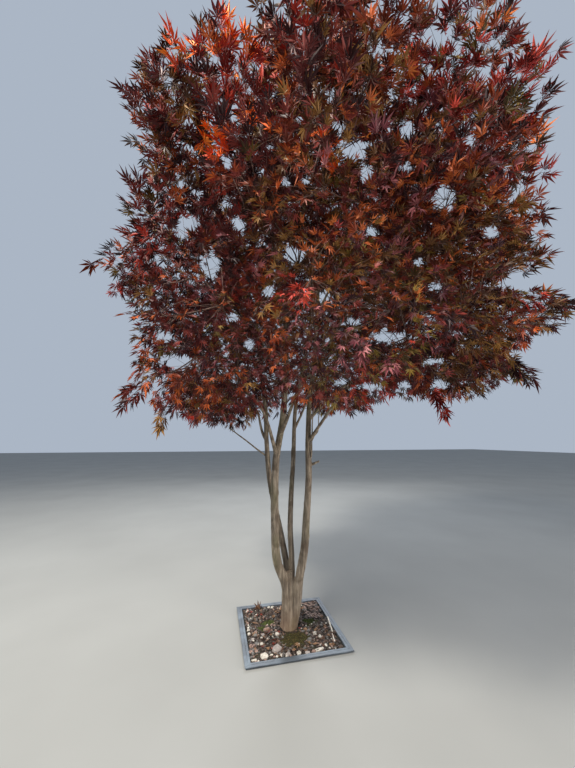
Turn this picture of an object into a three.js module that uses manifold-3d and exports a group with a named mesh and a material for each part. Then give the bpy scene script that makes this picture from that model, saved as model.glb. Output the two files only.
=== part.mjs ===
// A Japanese maple with four stems from one root, in a square planting bed with a raised metal frame.
// Millimetres, +Z up. The origin is in the trunk's flat cut at ground level, +X runs along the frame's
// front edge and +Y away from the front.
import * as THREE from "three";
import * as BufferGeometryUtils from "three/addons/utils/BufferGeometryUtils.js";
import Module from "manifold-3d";

const wasm = await Module();
wasm.setup();

// Planting bed
const FRAME_SIDE = 790;
const FRAME_HEIGHT = 18;
const FLANGE_WIDTH = 44;
const FLANGE_THICKNESS = 5;
const FRAME_UNDERCUT = 14;
const FRAME_EDGE_ROUND = 1.5;
const FILL_EDGE_HEIGHT = 7;
const FILL_MOUND_HEIGHT = 8;
const FILL_MOUND_SPREAD = 150;
const FILL_GRID = 8;

// Gaps and merging
const CLEARANCE = 0.35;
const MERGE_TOLERANCE = 1e-4;
const SHARE_ACCURACY = 1e-5;
const SMALLEST_DETAIL = 0.3;

// Trunk: the bole is an oval pillar under the three inner stems, and the fourth joins its foot
const BOLE_RADIUS = 60;
const BOLE_TOP = 430;
const BOLE_LEAN = [4, 14];
const BOLE_TAPER = 0.25;
const BOLE_SIDES = 12;
const BOLE_STEPS = 8;
const FLARE_RADIUS = 70;
const FLARE_HEIGHT = 90;
const BELOW_GROUND = -30;
const STEM_CUT_HEIGHT = 700;
const STEM_SIDES = 8;
const STEM_STEPS = 12;

// Each stem passes through points on its way up. Radii are at its foot, under the crown and at its tip.
const STEMS = {
  left: {
    way: [[-8, -6, BELOW_GROUND], [-24, -6, 320], [-98, -6, 510], [-119, -12, 720], [-126, -50, 1330],
      [-82, -150, 1750], [-110, -330, 2500], [-340, -570, 3400]],
    radii: { foot: 40, crown: 29, tip: 11 },
  },
  back_left: {
    way: [[0, 20, BELOW_GROUND], [-6, 52, 440], [-44, 82, 660], [-140, 158, 1150], [-166, 218, 1517],
      [-172, 260, 1800], [-230, 330, 2300], [-320, 210, 3300]],
    radii: { foot: 30, crown: 22, tip: 11 },
  },
  middle: {
    way: [[8, 5, BELOW_GROUND], [30, 12, 400], [29, 22, 560], [22, 34, 740], [33, 50, 990],
      [62, 77, 1335], [105, 140, 1850], [265, 265, 2500], [400, 430, 3330]],
    radii: { foot: 28, crown: 19, tip: 11 },
  },
  right: {
    way: [[26, -12, BELOW_GROUND], [58, -36, 190], [78, -43, 380], [122, -51, 600], [143, -50, 830],
      [172, -45, 1200], [172, -42, 1500], [190, -38, 1850], [236, -36, 2200], [290, -90, 3200],
      [258, -215, 3900]],
    radii: { foot: 40, crown: 24, tip: 11 },
  },
};
const CROWN_BASE = 1600;

// A short pruned snag on the right stem
const SNAG = { stem: "right", at: 1290, length: 75, radius: 13, taper: 0.3, compass: -20, rise: 0.45 };

// Foliage masses are spaces shaped like flattened balls, set in tiers round the crown's axis. Each row says
// on which bearing and how far out its middle lies, how high, and which stem carries it from which height.
// A row with no height stands on the stem's own tip.
const CROWN_AXIS = [236, -262];
const SQUASH = 0.8;
const MASSES = [
  { name: "low_left", stem: "left", at: 1390, bearing: 206, out: 950, height: 2150, spread: 750 },
  { name: "low_front", stem: "left", at: 1560, bearing: 257, out: 880, height: 2200, spread: 740 },
  { name: "low_right_front", stem: "right", at: 1500, bearing: 309, out: 970, height: 2340, spread: 750 },
  { name: "low_right", stem: "right", at: 1700, bearing: 352, out: 1150, height: 2400, spread: 760 },
  { name: "low_back_right", stem: "middle", at: 1620, bearing: 62, out: 990, height: 2300, spread: 760 },
  { name: "low_back_left", stem: "back_left", at: 1520, bearing: 137, out: 1010, height: 2200, spread: 760 },
  { name: "mid_left", stem: "left", at: 2050, bearing: 191, out: 1110, height: 2830, spread: 770 },
  { name: "mid_front", stem: "left", at: 2300, bearing: 244, out: 860, height: 3000, spread: 760 },
  { name: "mid_right_front", stem: "right", at: 2150, bearing: 300, out: 1030, height: 3040, spread: 770 },
  { name: "mid_right", stem: "right", at: 2380, bearing: 347, out: 1080, height: 3080, spread: 770 },
  { name: "mid_back_right", stem: "middle", at: 2250, bearing: 42, out: 1040, height: 3080, spread: 770 },
  { name: "mid_back_left", stem: "back_left", at: 2100, bearing: 109, out: 1040, height: 2980, spread: 770 },
  { name: "high_left", stem: "left", bearing: 205, out: 1060, height: 3800, spread: 780 },
  { name: "high_front", stem: "right", at: 2900, bearing: 257, out: 840, height: 3880, spread: 760 },
  { name: "high_right_front", stem: "right", at: 2750, bearing: 310, out: 1060, height: 3880, spread: 780 },
  { name: "high_right", stem: "middle", at: 2700, bearing: 359, out: 950, height: 3840, spread: 770 },
  { name: "high_back", stem: "middle", bearing: 62, out: 900, height: 3840, spread: 770 },
  { name: "high_back_left", stem: "back_left", bearing: 132, out: 920, height: 3820, spread: 770 },
  { name: "top", stem: "right", bearing: 230, out: 60, height: 4500, spread: 920 },
];

// Boughs leave a stem upwards, arch over and run out level into their mass
const BOUGH_ROOT_SHARE = 0.62;
const BOUGH_TIP_RADIUS = 8;
const BOUGH_TAPER = 0.8;
const BOUGH_SIDES = 6;
const BOUGH_STEPS = 5;
const BOUGH_HANDLE = 0.42;
const BOUGH_RISE = 1.1;
const BOUGH_END_RISE = 0.12;
const MASS_ENTRY = 0.62;

// Twigs and leaves. A leaf here stands for a spray of small ones, so it is larger than life.
const TWIG_NODES = 8;
const TWIG_SIDES = 3;
const TWIG_TIP_RADIUS = 3.2;
const TWIG_THICKENING = 0.36;
const TWIG_ROOT_SWELL = 1.08;
const TWIG_SAMPLING = 25;
const FIRST_SHOOT = 110;
const NODE_REACH = 0.66;
const NODE_TRIES = 14;
const MOST_ROUNDS = 240;
const WAY_HOME_SHARE = 0.35;
const LEAVES_PER_MASS = 19;
const LEAVES_PER_NODE = 3;
const LEAF_TRIES = 60;
const LEAF_LENGTH = { shortest: 380, longest: 480 };
const LEAF_THICKNESS = 9;
const LEAF_TILT = 0.5;
const LEAF_RISE = 0.8;
const LEAF_OUTWARD = 1.2;
const LEAF_LEVEL = 0.8;
const LEAF_STEP = 16;
const OWN_TWIG_CLEAR = 30;
const LEAF_SPINE = 0.14;
const LEAF_MIDDLE = 0.45;
const LEAF_SAMPLING = 40;
const LEAF_OUTLINE = [
  { turn: 0, reach: 0 },
  { turn: 50, reach: 0.84 },
  { turn: 22, reach: 0.46 },
  { turn: 0, reach: 1 },
  { turn: -22, reach: 0.46 },
  { turn: -50, reach: 0.84 },
];
const LEAF_TIP = LEAF_OUTLINE.findIndex(({ reach }) => reach === 1);
const SPACE_MARGIN = 12;
const TWIG_MARGIN = 36;
const LIMB_MARGIN = 22;
const LIMB_SAMPLING = 20;
const GROWTH_SEED = 20;

const UP = new THREE.Vector3(0, 0, 1);

const BARK = { color: 0x7d6a55, roughness: 0.9, metalness: 0 };
const TWIG_AND_LEAF = { color: 0x6e3a32, roughness: 0.75, metalness: 0 };
const METAL = { color: 0x7e8790, roughness: 0.5, metalness: 0.6 };
const SOIL = { color: 0x4a4034, roughness: 1, metalness: 0 };

// Solids and meshes

function toSolid(geometry) {
  const bare = geometry.clone();
  bare.deleteAttribute("normal");
  bare.deleteAttribute("uv");
  const merged = BufferGeometryUtils.mergeVertices(bare, MERGE_TOLERANCE);
  const vertProperties = new Float32Array(merged.attributes.position.array);
  const triVerts = new Uint32Array(merged.index.array);
  return new wasm.Manifold(new wasm.Mesh({ numProp: 3, vertProperties, triVerts }));
}

function largestBody(solid) {
  const bodies = solid.decompose();
  return bodies.reduce((best, body) => (body.volume() > best.volume() ? body : best));
}

function toMesh(name, solid, finish) {
  const { vertProperties, triVerts } = largestBody(solid.simplify(SMALLEST_DETAIL)).getMesh();
  const geometry = new THREE.BufferGeometry();
  geometry.setAttribute("position", new THREE.BufferAttribute(vertProperties, 3));
  geometry.setIndex(new THREE.BufferAttribute(triVerts, 1));
  geometry.computeVertexNormals();
  const mesh = new THREE.Mesh(geometry, new THREE.MeshStandardMaterial(finish));
  mesh.name = name;
  return mesh;
}

// Seeded numbers from 0 to 1, so that the plant grows the same way every time
function seeded(seed) {
  let state = seed >>> 0;
  return () => {
    state = (Math.imul(state, 1664525) + 1013904223) >>> 0;
    return state / 4294967296;
  };
}

// Limbs

// A cylinder bent along a curve, with its radius given from 0 at the curve's start to 1 at its end
function limbSolid(curve, radiusAt, sides, steps) {
  const geometry = new THREE.CylinderGeometry(1, 1, 1, sides, steps);
  const frames = curve.computeFrenetFrames(steps, false);
  const corners = geometry.attributes.position;
  for (let i = 0; i < corners.count; i++) {
    const along = corners.getY(i) + 0.5;
    const step = Math.round(along * steps);
    const corner = curve.getPointAt(along);
    corner.addScaledVector(frames.normals[step], corners.getX(i) * radiusAt(along));
    corner.addScaledVector(frames.binormals[step], -corners.getZ(i) * radiusAt(along));
    corners.setXYZ(i, corner.x, corner.y, corner.z);
  }
  return toSolid(geometry);
}

// Points and radii along a limb, for keeping leaves and twigs clear of it
function limbSamples({ curve, radiusAt }) {
  const count = Math.ceil(curve.getLength() / LIMB_SAMPLING);
  const samples = [];
  for (let i = 0; i <= count; i++) {
    samples.push({ point: curve.getPointAt(i / count), radius: radiusAt(i / count) });
  }
  return samples;
}

function shareAtHeight(curve, height) {
  let low = 0;
  let high = 1;
  while (high - low > SHARE_ACCURACY) {
    const middle = (low + high) / 2;
    if (curve.getPointAt(middle).z < height) low = middle;
    else high = middle;
  }
  return low;
}

function stemOf({ way, radii }) {
  const points = way.map((point) => new THREE.Vector3(...point));
  const curve = new THREE.CatmullRomCurve3(points, false, "centripetal");
  const crown = shareAtHeight(curve, CROWN_BASE);
  const radiusAt = (along) => (along < crown
    ? THREE.MathUtils.lerp(radii.foot, radii.crown, along / crown)
    : THREE.MathUtils.lerp(radii.crown, radii.tip, (along - crown) / (1 - crown)));
  return { curve, radiusAt };
}

// The part of a stem above or below the cut where it leaves the trunk
function cutStem(stem, extra, above) {
  const share = shareAtHeight(stem.curve, STEM_CUT_HEIGHT);
  const whole = limbSolid(stem.curve, (along) => stem.radiusAt(along) + extra, STEM_SIDES, STEM_STEPS);
  const way = stem.curve.getTangentAt(share);
  const level = way.dot(stem.curve.getPointAt(share));
  if (above) return whole.trimByPlane(way.toArray(), level + CLEARANCE / 2);
  return whole.trimByPlane(way.clone().negate().toArray(), -(level - CLEARANCE / 2));
}

function boleSolid(extra) {
  const rise = BOLE_TOP - BELOW_GROUND;
  const foot = new THREE.Vector3(0, 0, BELOW_GROUND);
  const axis = new THREE.LineCurve3(foot, new THREE.Vector3(...BOLE_LEAN, BOLE_TOP));
  const radiusAt = (along) => {
    const height = BELOW_GROUND + along * rise;
    const flare = Math.max(0, 1 - height / FLARE_HEIGHT);
    return BOLE_RADIUS * (1 - BOLE_TAPER * along ** 4) + (FLARE_RADIUS - BOLE_RADIUS) * flare ** 2 + extra;
  };
  return limbSolid(axis, radiusAt, BOLE_SIDES, BOLE_STEPS);
}

// The bole and the feet of the stems, before the flat cut at ground level
function uncutTrunk(stems, extra) {
  const feet = Object.values(stems).map((stem) => cutStem(stem, extra, false));
  return wasm.Manifold.union([boleSolid(extra), ...feet]);
}

function snagSolid(stems) {
  const { curve, radiusAt } = stems[SNAG.stem];
  const share = shareAtHeight(curve, SNAG.at);
  const start = curve.getPointAt(share);
  const angle = THREE.MathUtils.degToRad(SNAG.compass);
  const way = new THREE.Vector3(Math.cos(angle), Math.sin(angle), SNAG.rise).normalize();
  const end = start.clone().addScaledVector(way, radiusAt(share) + SNAG.length);
  const axis = new THREE.LineCurve3(start, end);
  return limbSolid(axis, (along) => SNAG.radius * (1 - SNAG.taper * along), BOUGH_SIDES, 1);
}

// Foliage spaces

function middleOf({ bearing, out, height }) {
  const angle = THREE.MathUtils.degToRad(bearing);
  const [x, y] = CROWN_AXIS;
  return new THREE.Vector3(x + out * Math.cos(angle), y + out * Math.sin(angle), height);
}

function unsquashed(offset) {
  return new THREE.Vector3(offset.x, offset.y, offset.z / SQUASH);
}

// How far a point lies inside a mass's space: its ball, less what is nearer to a neighbour
function roomInside(point, mass) {
  const own = unsquashed(point.clone().sub(mass.middle)).lengthSq() - mass.spread ** 2;
  let room = mass.spread - Math.sqrt(own + mass.spread ** 2);
  for (const other of mass.neighbours) {
    const theirs = unsquashed(point.clone().sub(other.middle)).lengthSq() - other.spread ** 2;
    room = Math.min(room, (theirs - own) / (2 * unsquashed(other.middle.clone().sub(mass.middle)).length()));
  }
  return room;
}

function entryOf(mass, from) {
  const back = from.clone().sub(mass.middle);
  const scale = (MASS_ENTRY * mass.spread) / unsquashed(back).length();
  return mass.middle.clone().addScaledVector(back, scale);
}

function boughCurve(stem, mass) {
  const share = shareAtHeight(stem.curve, mass.at);
  const start = stem.curve.getPointAt(share);
  const end = entryOf(mass, start);
  const out = new THREE.Vector3(end.x - start.x, end.y - start.y, 0).normalize();
  const handle = BOUGH_HANDLE * start.distanceTo(end);
  const leaving = out.clone().addScaledVector(stem.curve.getTangentAt(share), BOUGH_RISE).normalize();
  const ending = out.clone().addScaledVector(UP, BOUGH_END_RISE).normalize();
  return new THREE.CubicBezierCurve3(
    start, start.clone().addScaledVector(leaving, handle), end.clone().addScaledVector(ending, -handle), end,
  );
}

function boughOf(stem, mass) {
  const curve = boughCurve(stem, mass);
  const root = stem.radiusAt(shareAtHeight(stem.curve, mass.at)) * BOUGH_ROOT_SHARE;
  const radiusAt = (along) => THREE.MathUtils.lerp(root, BOUGH_TIP_RADIUS, along ** BOUGH_TAPER);
  return { curve, radiusAt };
}

// Growth

function clearOfLimbs(points, limbs) {
  return points.every((point) => limbs.every((limb) => (
    limb.point.distanceTo(point) > limb.radius + LIMB_MARGIN)));
}

function pointsBetween(start, end, spacing) {
  const count = Math.ceil(start.distanceTo(end) / spacing);
  return Array.from({ length: count }, (_, i) => start.clone().lerp(end, (i + 1) / count));
}

// A new twig node joins the node that is nearest, counting a share of the way back to the stem
function growTwigs(mass, random) {
  const first = mass.entry.clone().addScaledVector(mass.way, FIRST_SHOOT);
  const start = mass.entry.clone().addScaledVector(mass.way, CLEARANCE);
  const nodes = [{ point: start, parent: null, home: 0 }, { point: first, parent: 0, home: FIRST_SHOOT }];
  for (let round = 0; nodes.length < TWIG_NODES + 2 && round < MOST_ROUNDS; round++) {
    const spots = [];
    for (let i = 0; i < NODE_TRIES; i++) {
      const spot = spotIn(mass, random);
      const gap = Math.min(...nodes.map((node) => node.point.distanceTo(spot)));
      spots.push({ spot, gap });
    }
    spots.sort((a, b) => b.gap - a.gap);
    const { spot } = spots[0];
    const costs = nodes.map((node) => node.point.distanceTo(spot) + WAY_HOME_SHARE * node.home);
    costs[0] = Infinity;
    const parent = costs.indexOf(Math.min(...costs));
    const way = pointsBetween(nodes[parent].point, spot, TWIG_SAMPLING);
    if (way.some((point) => roomInside(point, mass) < TWIG_MARGIN)) continue;
    if (!clearOfLimbs(way, mass.limbs)) continue;
    const home = nodes[parent].home + nodes[parent].point.distanceTo(spot);
    nodes.push({ point: spot, parent, home });
  }
  return nodes;
}

// A spot in the mass's ball, drawn evenly out to the reach of its nodes
function spotIn(mass, random) {
  const turn = 2 * Math.PI * random();
  const lift = 2 * random() - 1;
  const reach = NODE_REACH * mass.spread * Math.cbrt(random());
  const level = reach * Math.sqrt(1 - lift * lift);
  return new THREE.Vector3(
    mass.middle.x + level * Math.cos(turn),
    mass.middle.y + level * Math.sin(turn),
    mass.middle.z + SQUASH * reach * lift,
  );
}

function twigLoads(nodes) {
  const loads = nodes.map(() => 1);
  for (let i = nodes.length - 1; i > 0; i--) loads[nodes[i].parent] += loads[i];
  return loads;
}

function twigSolids(nodes) {
  const loads = twigLoads(nodes);
  const radii = loads.map((load) => TWIG_TIP_RADIUS * load ** TWIG_THICKENING);
  return nodes.slice(1).map((node, i) => {
    const curve = new THREE.LineCurve3(nodes[node.parent].point, node.point);
    const atRoot = node.parent === 0 ? radii[0] : radii[i + 1] * TWIG_ROOT_SWELL;
    return limbSolid(curve, (along) => THREE.MathUtils.lerp(atRoot, radii[i + 1], along), TWIG_SIDES, 1);
  });
}

// A leaf lies along `ahead`, spread to both sides along `across`
function leafOf(root, ahead, across, length) {
  const at = (turn, reach) => {
    const angle = THREE.MathUtils.degToRad(turn);
    return root.clone()
      .addScaledVector(ahead, length * reach * Math.cos(angle))
      .addScaledVector(across, length * reach * Math.sin(angle));
  };
  const outline = LEAF_OUTLINE.map(({ turn, reach }) => at(turn, reach));
  const spine = at(0, LEAF_SPINE);
  const rim = outline.slice(1).flatMap((corner, i) => pointsBetween(outline[i], corner, LEAF_SAMPLING));
  const samples = rim.flatMap((corner) => pointsBetween(spine, corner, LEAF_SAMPLING));
  return { root, ahead, across, length, outline, samples, spine, centre: at(0, LEAF_MIDDLE) };
}

// Whether the straight line between two points goes through a leaf
function pierces(start, end, leaf) {
  const length = start.distanceTo(end);
  const ray = new THREE.Ray(start, end.clone().sub(start).divideScalar(length));
  const hit = new THREE.Vector3();
  return leaf.outline.some((corner, i) => {
    const next = leaf.outline[(i + 1) % leaf.outline.length];
    return ray.intersectTriangle(leaf.spine, corner, next, false, hit) && hit.distanceTo(start) < length;
  });
}

function edgesOf(leaf) {
  const around = leaf.outline.map((corner, i) => [corner, leaf.outline[(i + 1) % leaf.outline.length]]);
  return [...around, [leaf.root, leaf.outline[LEAF_TIP]]];
}

function leavesCross(leaf, other) {
  if (leaf.centre.distanceTo(other.centre) > leaf.length + other.length) return false;
  return edgesOf(leaf).some(([start, end]) => pierces(start, end, other))
    || edgesOf(other).some(([start, end]) => pierces(start, end, leaf));
}

function crossesTwig(leaf, [start, end]) {
  const way = end.clone().sub(start).normalize();
  const holdBack = (point) => (point.distanceTo(leaf.root) < OWN_TWIG_CLEAR ? OWN_TWIG_CLEAR : 0);
  const from = start.clone().addScaledVector(way, holdBack(start));
  const to = end.clone().addScaledVector(way, -holdBack(end));
  return pierces(from, to, leaf);
}

// Leaves go where there is most room: each is the best of several tries at nodes that can still take one
function growLeaves(mass, nodes, random) {
  const leaves = [];
  const taken = nodes.map(() => 0);
  taken[0] = LEAVES_PER_NODE;
  const twigs = nodes.slice(1).map((node) => [nodes[node.parent].point, node.point]);
  for (let grown = 0; grown < LEAVES_PER_MASS; grown++) {
    let best = null;
    let mostRoom = 0;
    for (let i = 0; i < LEAF_TRIES; i++) {
      const node = Math.floor(random() * nodes.length);
      const leaf = leafTry(mass, nodes, node, taken[node], random);
      if (taken[node] >= LEAVES_PER_NODE) continue;
      const gap = Math.min(...leaves.map((other) => other.centre.distanceTo(leaf.centre)));
      if (gap <= mostRoom) continue;
      if (leaf.samples.some((point) => roomInside(point, mass) < SPACE_MARGIN)) continue;
      if (!clearOfLimbs(leaf.samples, mass.limbs)) continue;
      if (leaves.some((other) => leavesCross(leaf, other))) continue;
      if (twigs.some((twig) => crossesTwig(leaf, twig))) continue;
      best = { leaf, node };
      mostRoom = gap;
    }
    if (!best) continue;
    taken[best.node]++;
    leaves.push(best.leaf);
  }
  return leaves;
}

// A leaf points away from the mass's middle and lies along its outside, tilted at random. The first at a
// node grows from its tip, and the next ones from a little way back along the twig.
function leafTry(mass, nodes, index, taken, random) {
  const node = nodes[index];
  const back = index === 0 ? node.point : nodes[node.parent].point;
  const root = node.point.clone();
  if (index > 0) root.addScaledVector(back.clone().sub(root).normalize(), LEAF_STEP * taken);
  const turn = 2 * Math.PI * random();
  const outward = unsquashed(node.point.clone().sub(mass.middle)).divideScalar(mass.spread);
  const ahead = new THREE.Vector3(Math.cos(turn), Math.sin(turn), LEAF_RISE * (2 * random() - 1));
  ahead.addScaledVector(outward, LEAF_OUTWARD).normalize();
  const face = outward.clone().addScaledVector(UP, LEAF_LEVEL);
  face.x += LEAF_TILT * (2 * random() - 1);
  face.y += LEAF_TILT * (2 * random() - 1);
  face.z += LEAF_TILT * (2 * random() - 1);
  const across = new THREE.Vector3().crossVectors(face, ahead).normalize();
  const length = THREE.MathUtils.lerp(LEAF_LENGTH.shortest, LEAF_LENGTH.longest, random());
  return leafOf(root, ahead, across, length);
}

// A thin blade with a ridge on both faces
function leafSolid({ ahead, across, spine, outline }) {
  const face = new THREE.Vector3().crossVectors(ahead, across);
  const top = spine.clone().addScaledVector(face, LEAF_THICKNESS / 2);
  const bottom = spine.clone().addScaledVector(face, -LEAF_THICKNESS / 2);
  const corners = [...outline, top, bottom].flatMap((corner) => corner.toArray());
  const triangles = [];
  for (let i = 0; i < outline.length; i++) {
    const next = (i + 1) % outline.length;
    triangles.push(outline.length, next, i);
    triangles.push(outline.length + 1, i, next);
  }
  const geometry = new THREE.BufferGeometry();
  geometry.setAttribute("position", new THREE.Float32BufferAttribute(corners, 3));
  geometry.setIndex(triangles);
  return toSolid(geometry);
}

function massSolid(mass, random) {
  const nodes = growTwigs(mass, random);
  const leaves = growLeaves(mass, nodes, random);
  return wasm.Manifold.union([...twigSolids(nodes), ...leaves.map(leafSolid)]);
}

// Planting bed

function squareShape(side) {
  const half = side / 2;
  return new THREE.Shape([
    new THREE.Vector2(-half, -half), new THREE.Vector2(half, -half),
    new THREE.Vector2(half, half), new THREE.Vector2(-half, half),
  ]);
}

function squareRing(outer, inner, bottom, top) {
  const shape = squareShape(outer);
  shape.holes.push(squareShape(inner));
  return toSolid(new THREE.ExtrudeGeometry(shape, { depth: top - bottom, bevelEnabled: false })
    .translate(0, 0, bottom));
}

// A body under a flange that overhangs it outside, so that a dark line shows under the rim
function bedFrameSolid() {
  const inner = FRAME_SIDE - 2 * FLANGE_WIDTH;
  const underside = FRAME_HEIGHT - FLANGE_THICKNESS;
  const flange = squareRing(FRAME_SIDE, inner, underside, FRAME_HEIGHT - FRAME_EDGE_ROUND);
  const crown = squareRing(FRAME_SIDE - 2 * FRAME_EDGE_ROUND, inner, underside, FRAME_HEIGHT);
  const body = squareRing(FRAME_SIDE - 2 * FRAME_UNDERCUT, inner, 0, underside + FLANGE_THICKNESS / 2);
  return wasm.Manifold.union([flange, crown, body]);
}

function fillHeight(x, y) {
  const away = Math.hypot(x, y) / FILL_MOUND_SPREAD;
  return FILL_EDGE_HEIGHT + FILL_MOUND_HEIGHT * Math.exp(-away * away);
}

// Soil and gravel, level at the frame and heaped a little round the foot of the trunk
function bedFillSolid(stems) {
  const side = FRAME_SIDE - 2 * FLANGE_WIDTH - 2 * CLEARANCE;
  const geometry = new THREE.BoxGeometry(side, side, 1, FILL_GRID, FILL_GRID, 1);
  const corners = geometry.attributes.position;
  for (let i = 0; i < corners.count; i++) {
    corners.setZ(i, corners.getZ(i) > 0 ? fillHeight(corners.getX(i), corners.getY(i)) : 0);
  }
  return toSolid(geometry).subtract(uncutTrunk(stems, CLEARANCE));
}

// The plant

const stems = Object.fromEntries(Object.entries(STEMS).map(([name, stem]) => [name, stemOf(stem)]));
const masses = MASSES.map((mass) => ({ ...mass, middle: middleOf(mass) }));
for (const mass of masses) {
  mass.neighbours = masses.filter((other) => other !== mass
    && unsquashed(other.middle.clone().sub(mass.middle)).length() < other.spread + mass.spread);
  mass.bough = mass.at ? boughOf(stems[mass.stem], mass) : null;
  const carrier = mass.bough ? mass.bough.curve : stems[mass.stem].curve;
  mass.entry = carrier.getPointAt(1);
  mass.way = carrier.getTangentAt(1);
}
const boughs = masses.filter(({ bough }) => bough).map(({ bough }) => bough);
const limbSpots = [...Object.values(stems), ...boughs].flatMap(limbSamples);
for (const mass of masses) {
  mass.limbs = limbSpots.filter(({ point }) => point.distanceTo(mass.middle) < mass.spread + LEAF_SAMPLING);
}

const plant = new THREE.Group();
plant.add(toMesh("trunk", uncutTrunk(stems, 0).trimByPlane([0, 0, 1], 0), BARK));
for (const [name, stem] of Object.entries(stems)) {
  const upper = cutStem(stem, 0, true);
  plant.add(toMesh(`stem_${name}`, name === SNAG.stem ? upper.add(snagSolid(stems)) : upper, BARK));
}
const stemsWithRoom = Object.fromEntries(Object.entries(stems)
  .map(([name, stem]) => [name, cutStem(stem, CLEARANCE, true)]));
for (const mass of masses.filter(({ bough }) => bough)) {
  const whole = limbSolid(mass.bough.curve, mass.bough.radiusAt, BOUGH_SIDES, BOUGH_STEPS);
  plant.add(toMesh(`bough_${mass.name}`, whole.subtract(stemsWithRoom[mass.stem]), BARK));
}
masses.forEach((mass, i) => {
  plant.add(toMesh(`foliage_${mass.name}`, massSolid(mass, seeded(GROWTH_SEED + i)), TWIG_AND_LEAF));
});
plant.add(toMesh("bed_frame", bedFrameSolid(), METAL));
plant.add(toMesh("bed_fill", bedFillSolid(stems), SOIL));

export default plant;
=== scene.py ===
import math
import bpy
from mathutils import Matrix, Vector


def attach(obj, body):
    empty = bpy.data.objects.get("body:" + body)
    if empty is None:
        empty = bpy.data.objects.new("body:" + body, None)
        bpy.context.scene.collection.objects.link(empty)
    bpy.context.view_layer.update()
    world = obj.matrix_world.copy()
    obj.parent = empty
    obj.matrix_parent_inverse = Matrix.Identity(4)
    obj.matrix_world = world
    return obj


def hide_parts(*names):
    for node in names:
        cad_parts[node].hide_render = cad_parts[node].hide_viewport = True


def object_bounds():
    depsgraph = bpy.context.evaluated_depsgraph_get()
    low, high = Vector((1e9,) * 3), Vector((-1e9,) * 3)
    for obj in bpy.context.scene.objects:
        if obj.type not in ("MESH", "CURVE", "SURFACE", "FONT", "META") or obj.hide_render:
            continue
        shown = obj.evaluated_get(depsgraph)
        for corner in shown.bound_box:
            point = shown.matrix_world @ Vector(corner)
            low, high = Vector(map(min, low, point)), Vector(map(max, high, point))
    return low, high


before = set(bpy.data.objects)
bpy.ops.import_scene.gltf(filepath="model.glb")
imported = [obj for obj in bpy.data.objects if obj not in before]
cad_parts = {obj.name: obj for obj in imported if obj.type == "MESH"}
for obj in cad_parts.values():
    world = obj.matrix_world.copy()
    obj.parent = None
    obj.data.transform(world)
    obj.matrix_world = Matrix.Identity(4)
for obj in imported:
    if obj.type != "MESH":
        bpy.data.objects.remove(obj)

# The looks of a Japanese maple with four stems in a square planting bed. The plant is grown by the same
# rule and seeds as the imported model, in millimetres, and is turned into metres as meshes are made.
from types import SimpleNamespace

import bmesh
import bpy
import numpy as np
from mathutils import Matrix, Vector, noise
from mathutils.kdtree import KDTree

cad_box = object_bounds()

MM = 0.001
UP = np.array([0.0, 0.0, 1.0])
NEARLY_UP = UP + 1e-3
SHARE_PRECISION = 1e-5

# Camera, as the photograph was taken: its place in metres, its turns in degrees and the frame in pixels
PHOTO_WIDTH = 575
PHOTO_HEIGHT = 768
FOCAL_PIXELS = 308.3
CAMERA_PLACE = (-0.655, -2.76, 1.52)
CAMERA_PITCH = 10.23
CAMERA_YAW = 13.15
SENSOR = 36.0

# Planting bed
FRAME_SIDE = 790
FRAME_HEIGHT = 18
FLANGE_WIDTH = 44
FLANGE_THICKNESS = 5
FRAME_UNDERCUT = 14
FILL_EDGE_HEIGHT = 7
FILL_MOUND_HEIGHT = 8
FILL_MOUND_SPREAD = 150

# Trunk
BOLE_RADIUS = 60
BOLE_TOP = 430
BOLE_LEAN = (4, 14)
BOLE_TAPER = 0.25
FLARE_RADIUS = 70
FLARE_HEIGHT = 90
BELOW_GROUND = -30

# Each stem passes through points on its way up. Radii are at its foot, under the crown and at its tip.
STEMS = {
    "left": SimpleNamespace(
        way=[(-8, -6, BELOW_GROUND), (-24, -6, 320), (-98, -6, 510), (-119, -12, 720), (-126, -50, 1330),
             (-82, -150, 1750), (-110, -330, 2500), (-340, -570, 3400)],
        foot=40, crown=29, tip=11,
    ),
    "back_left": SimpleNamespace(
        way=[(0, 20, BELOW_GROUND), (-6, 52, 440), (-44, 82, 660), (-140, 158, 1150), (-166, 218, 1517),
             (-172, 260, 1800), (-230, 330, 2300), (-320, 210, 3300)],
        foot=30, crown=22, tip=11,
    ),
    "middle": SimpleNamespace(
        way=[(8, 5, BELOW_GROUND), (30, 12, 400), (29, 22, 560), (22, 34, 740), (33, 50, 990),
             (62, 77, 1335), (105, 140, 1850), (265, 265, 2500), (400, 430, 3330)],
        foot=28, crown=19, tip=11,
    ),
    "right": SimpleNamespace(
        way=[(26, -12, BELOW_GROUND), (58, -36, 190), (78, -43, 380), (122, -51, 600), (143, -50, 830),
             (172, -45, 1200), (172, -42, 1500), (190, -38, 1850), (236, -36, 2200), (290, -90, 3200),
             (258, -215, 3900)],
        foot=40, crown=24, tip=11,
    ),
}
CROWN_BASE = 1600
SNAG = SimpleNamespace(stem="right", at=1290, length=75, radius=13, taper=0.3, compass=-20, rise=0.45)

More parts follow.
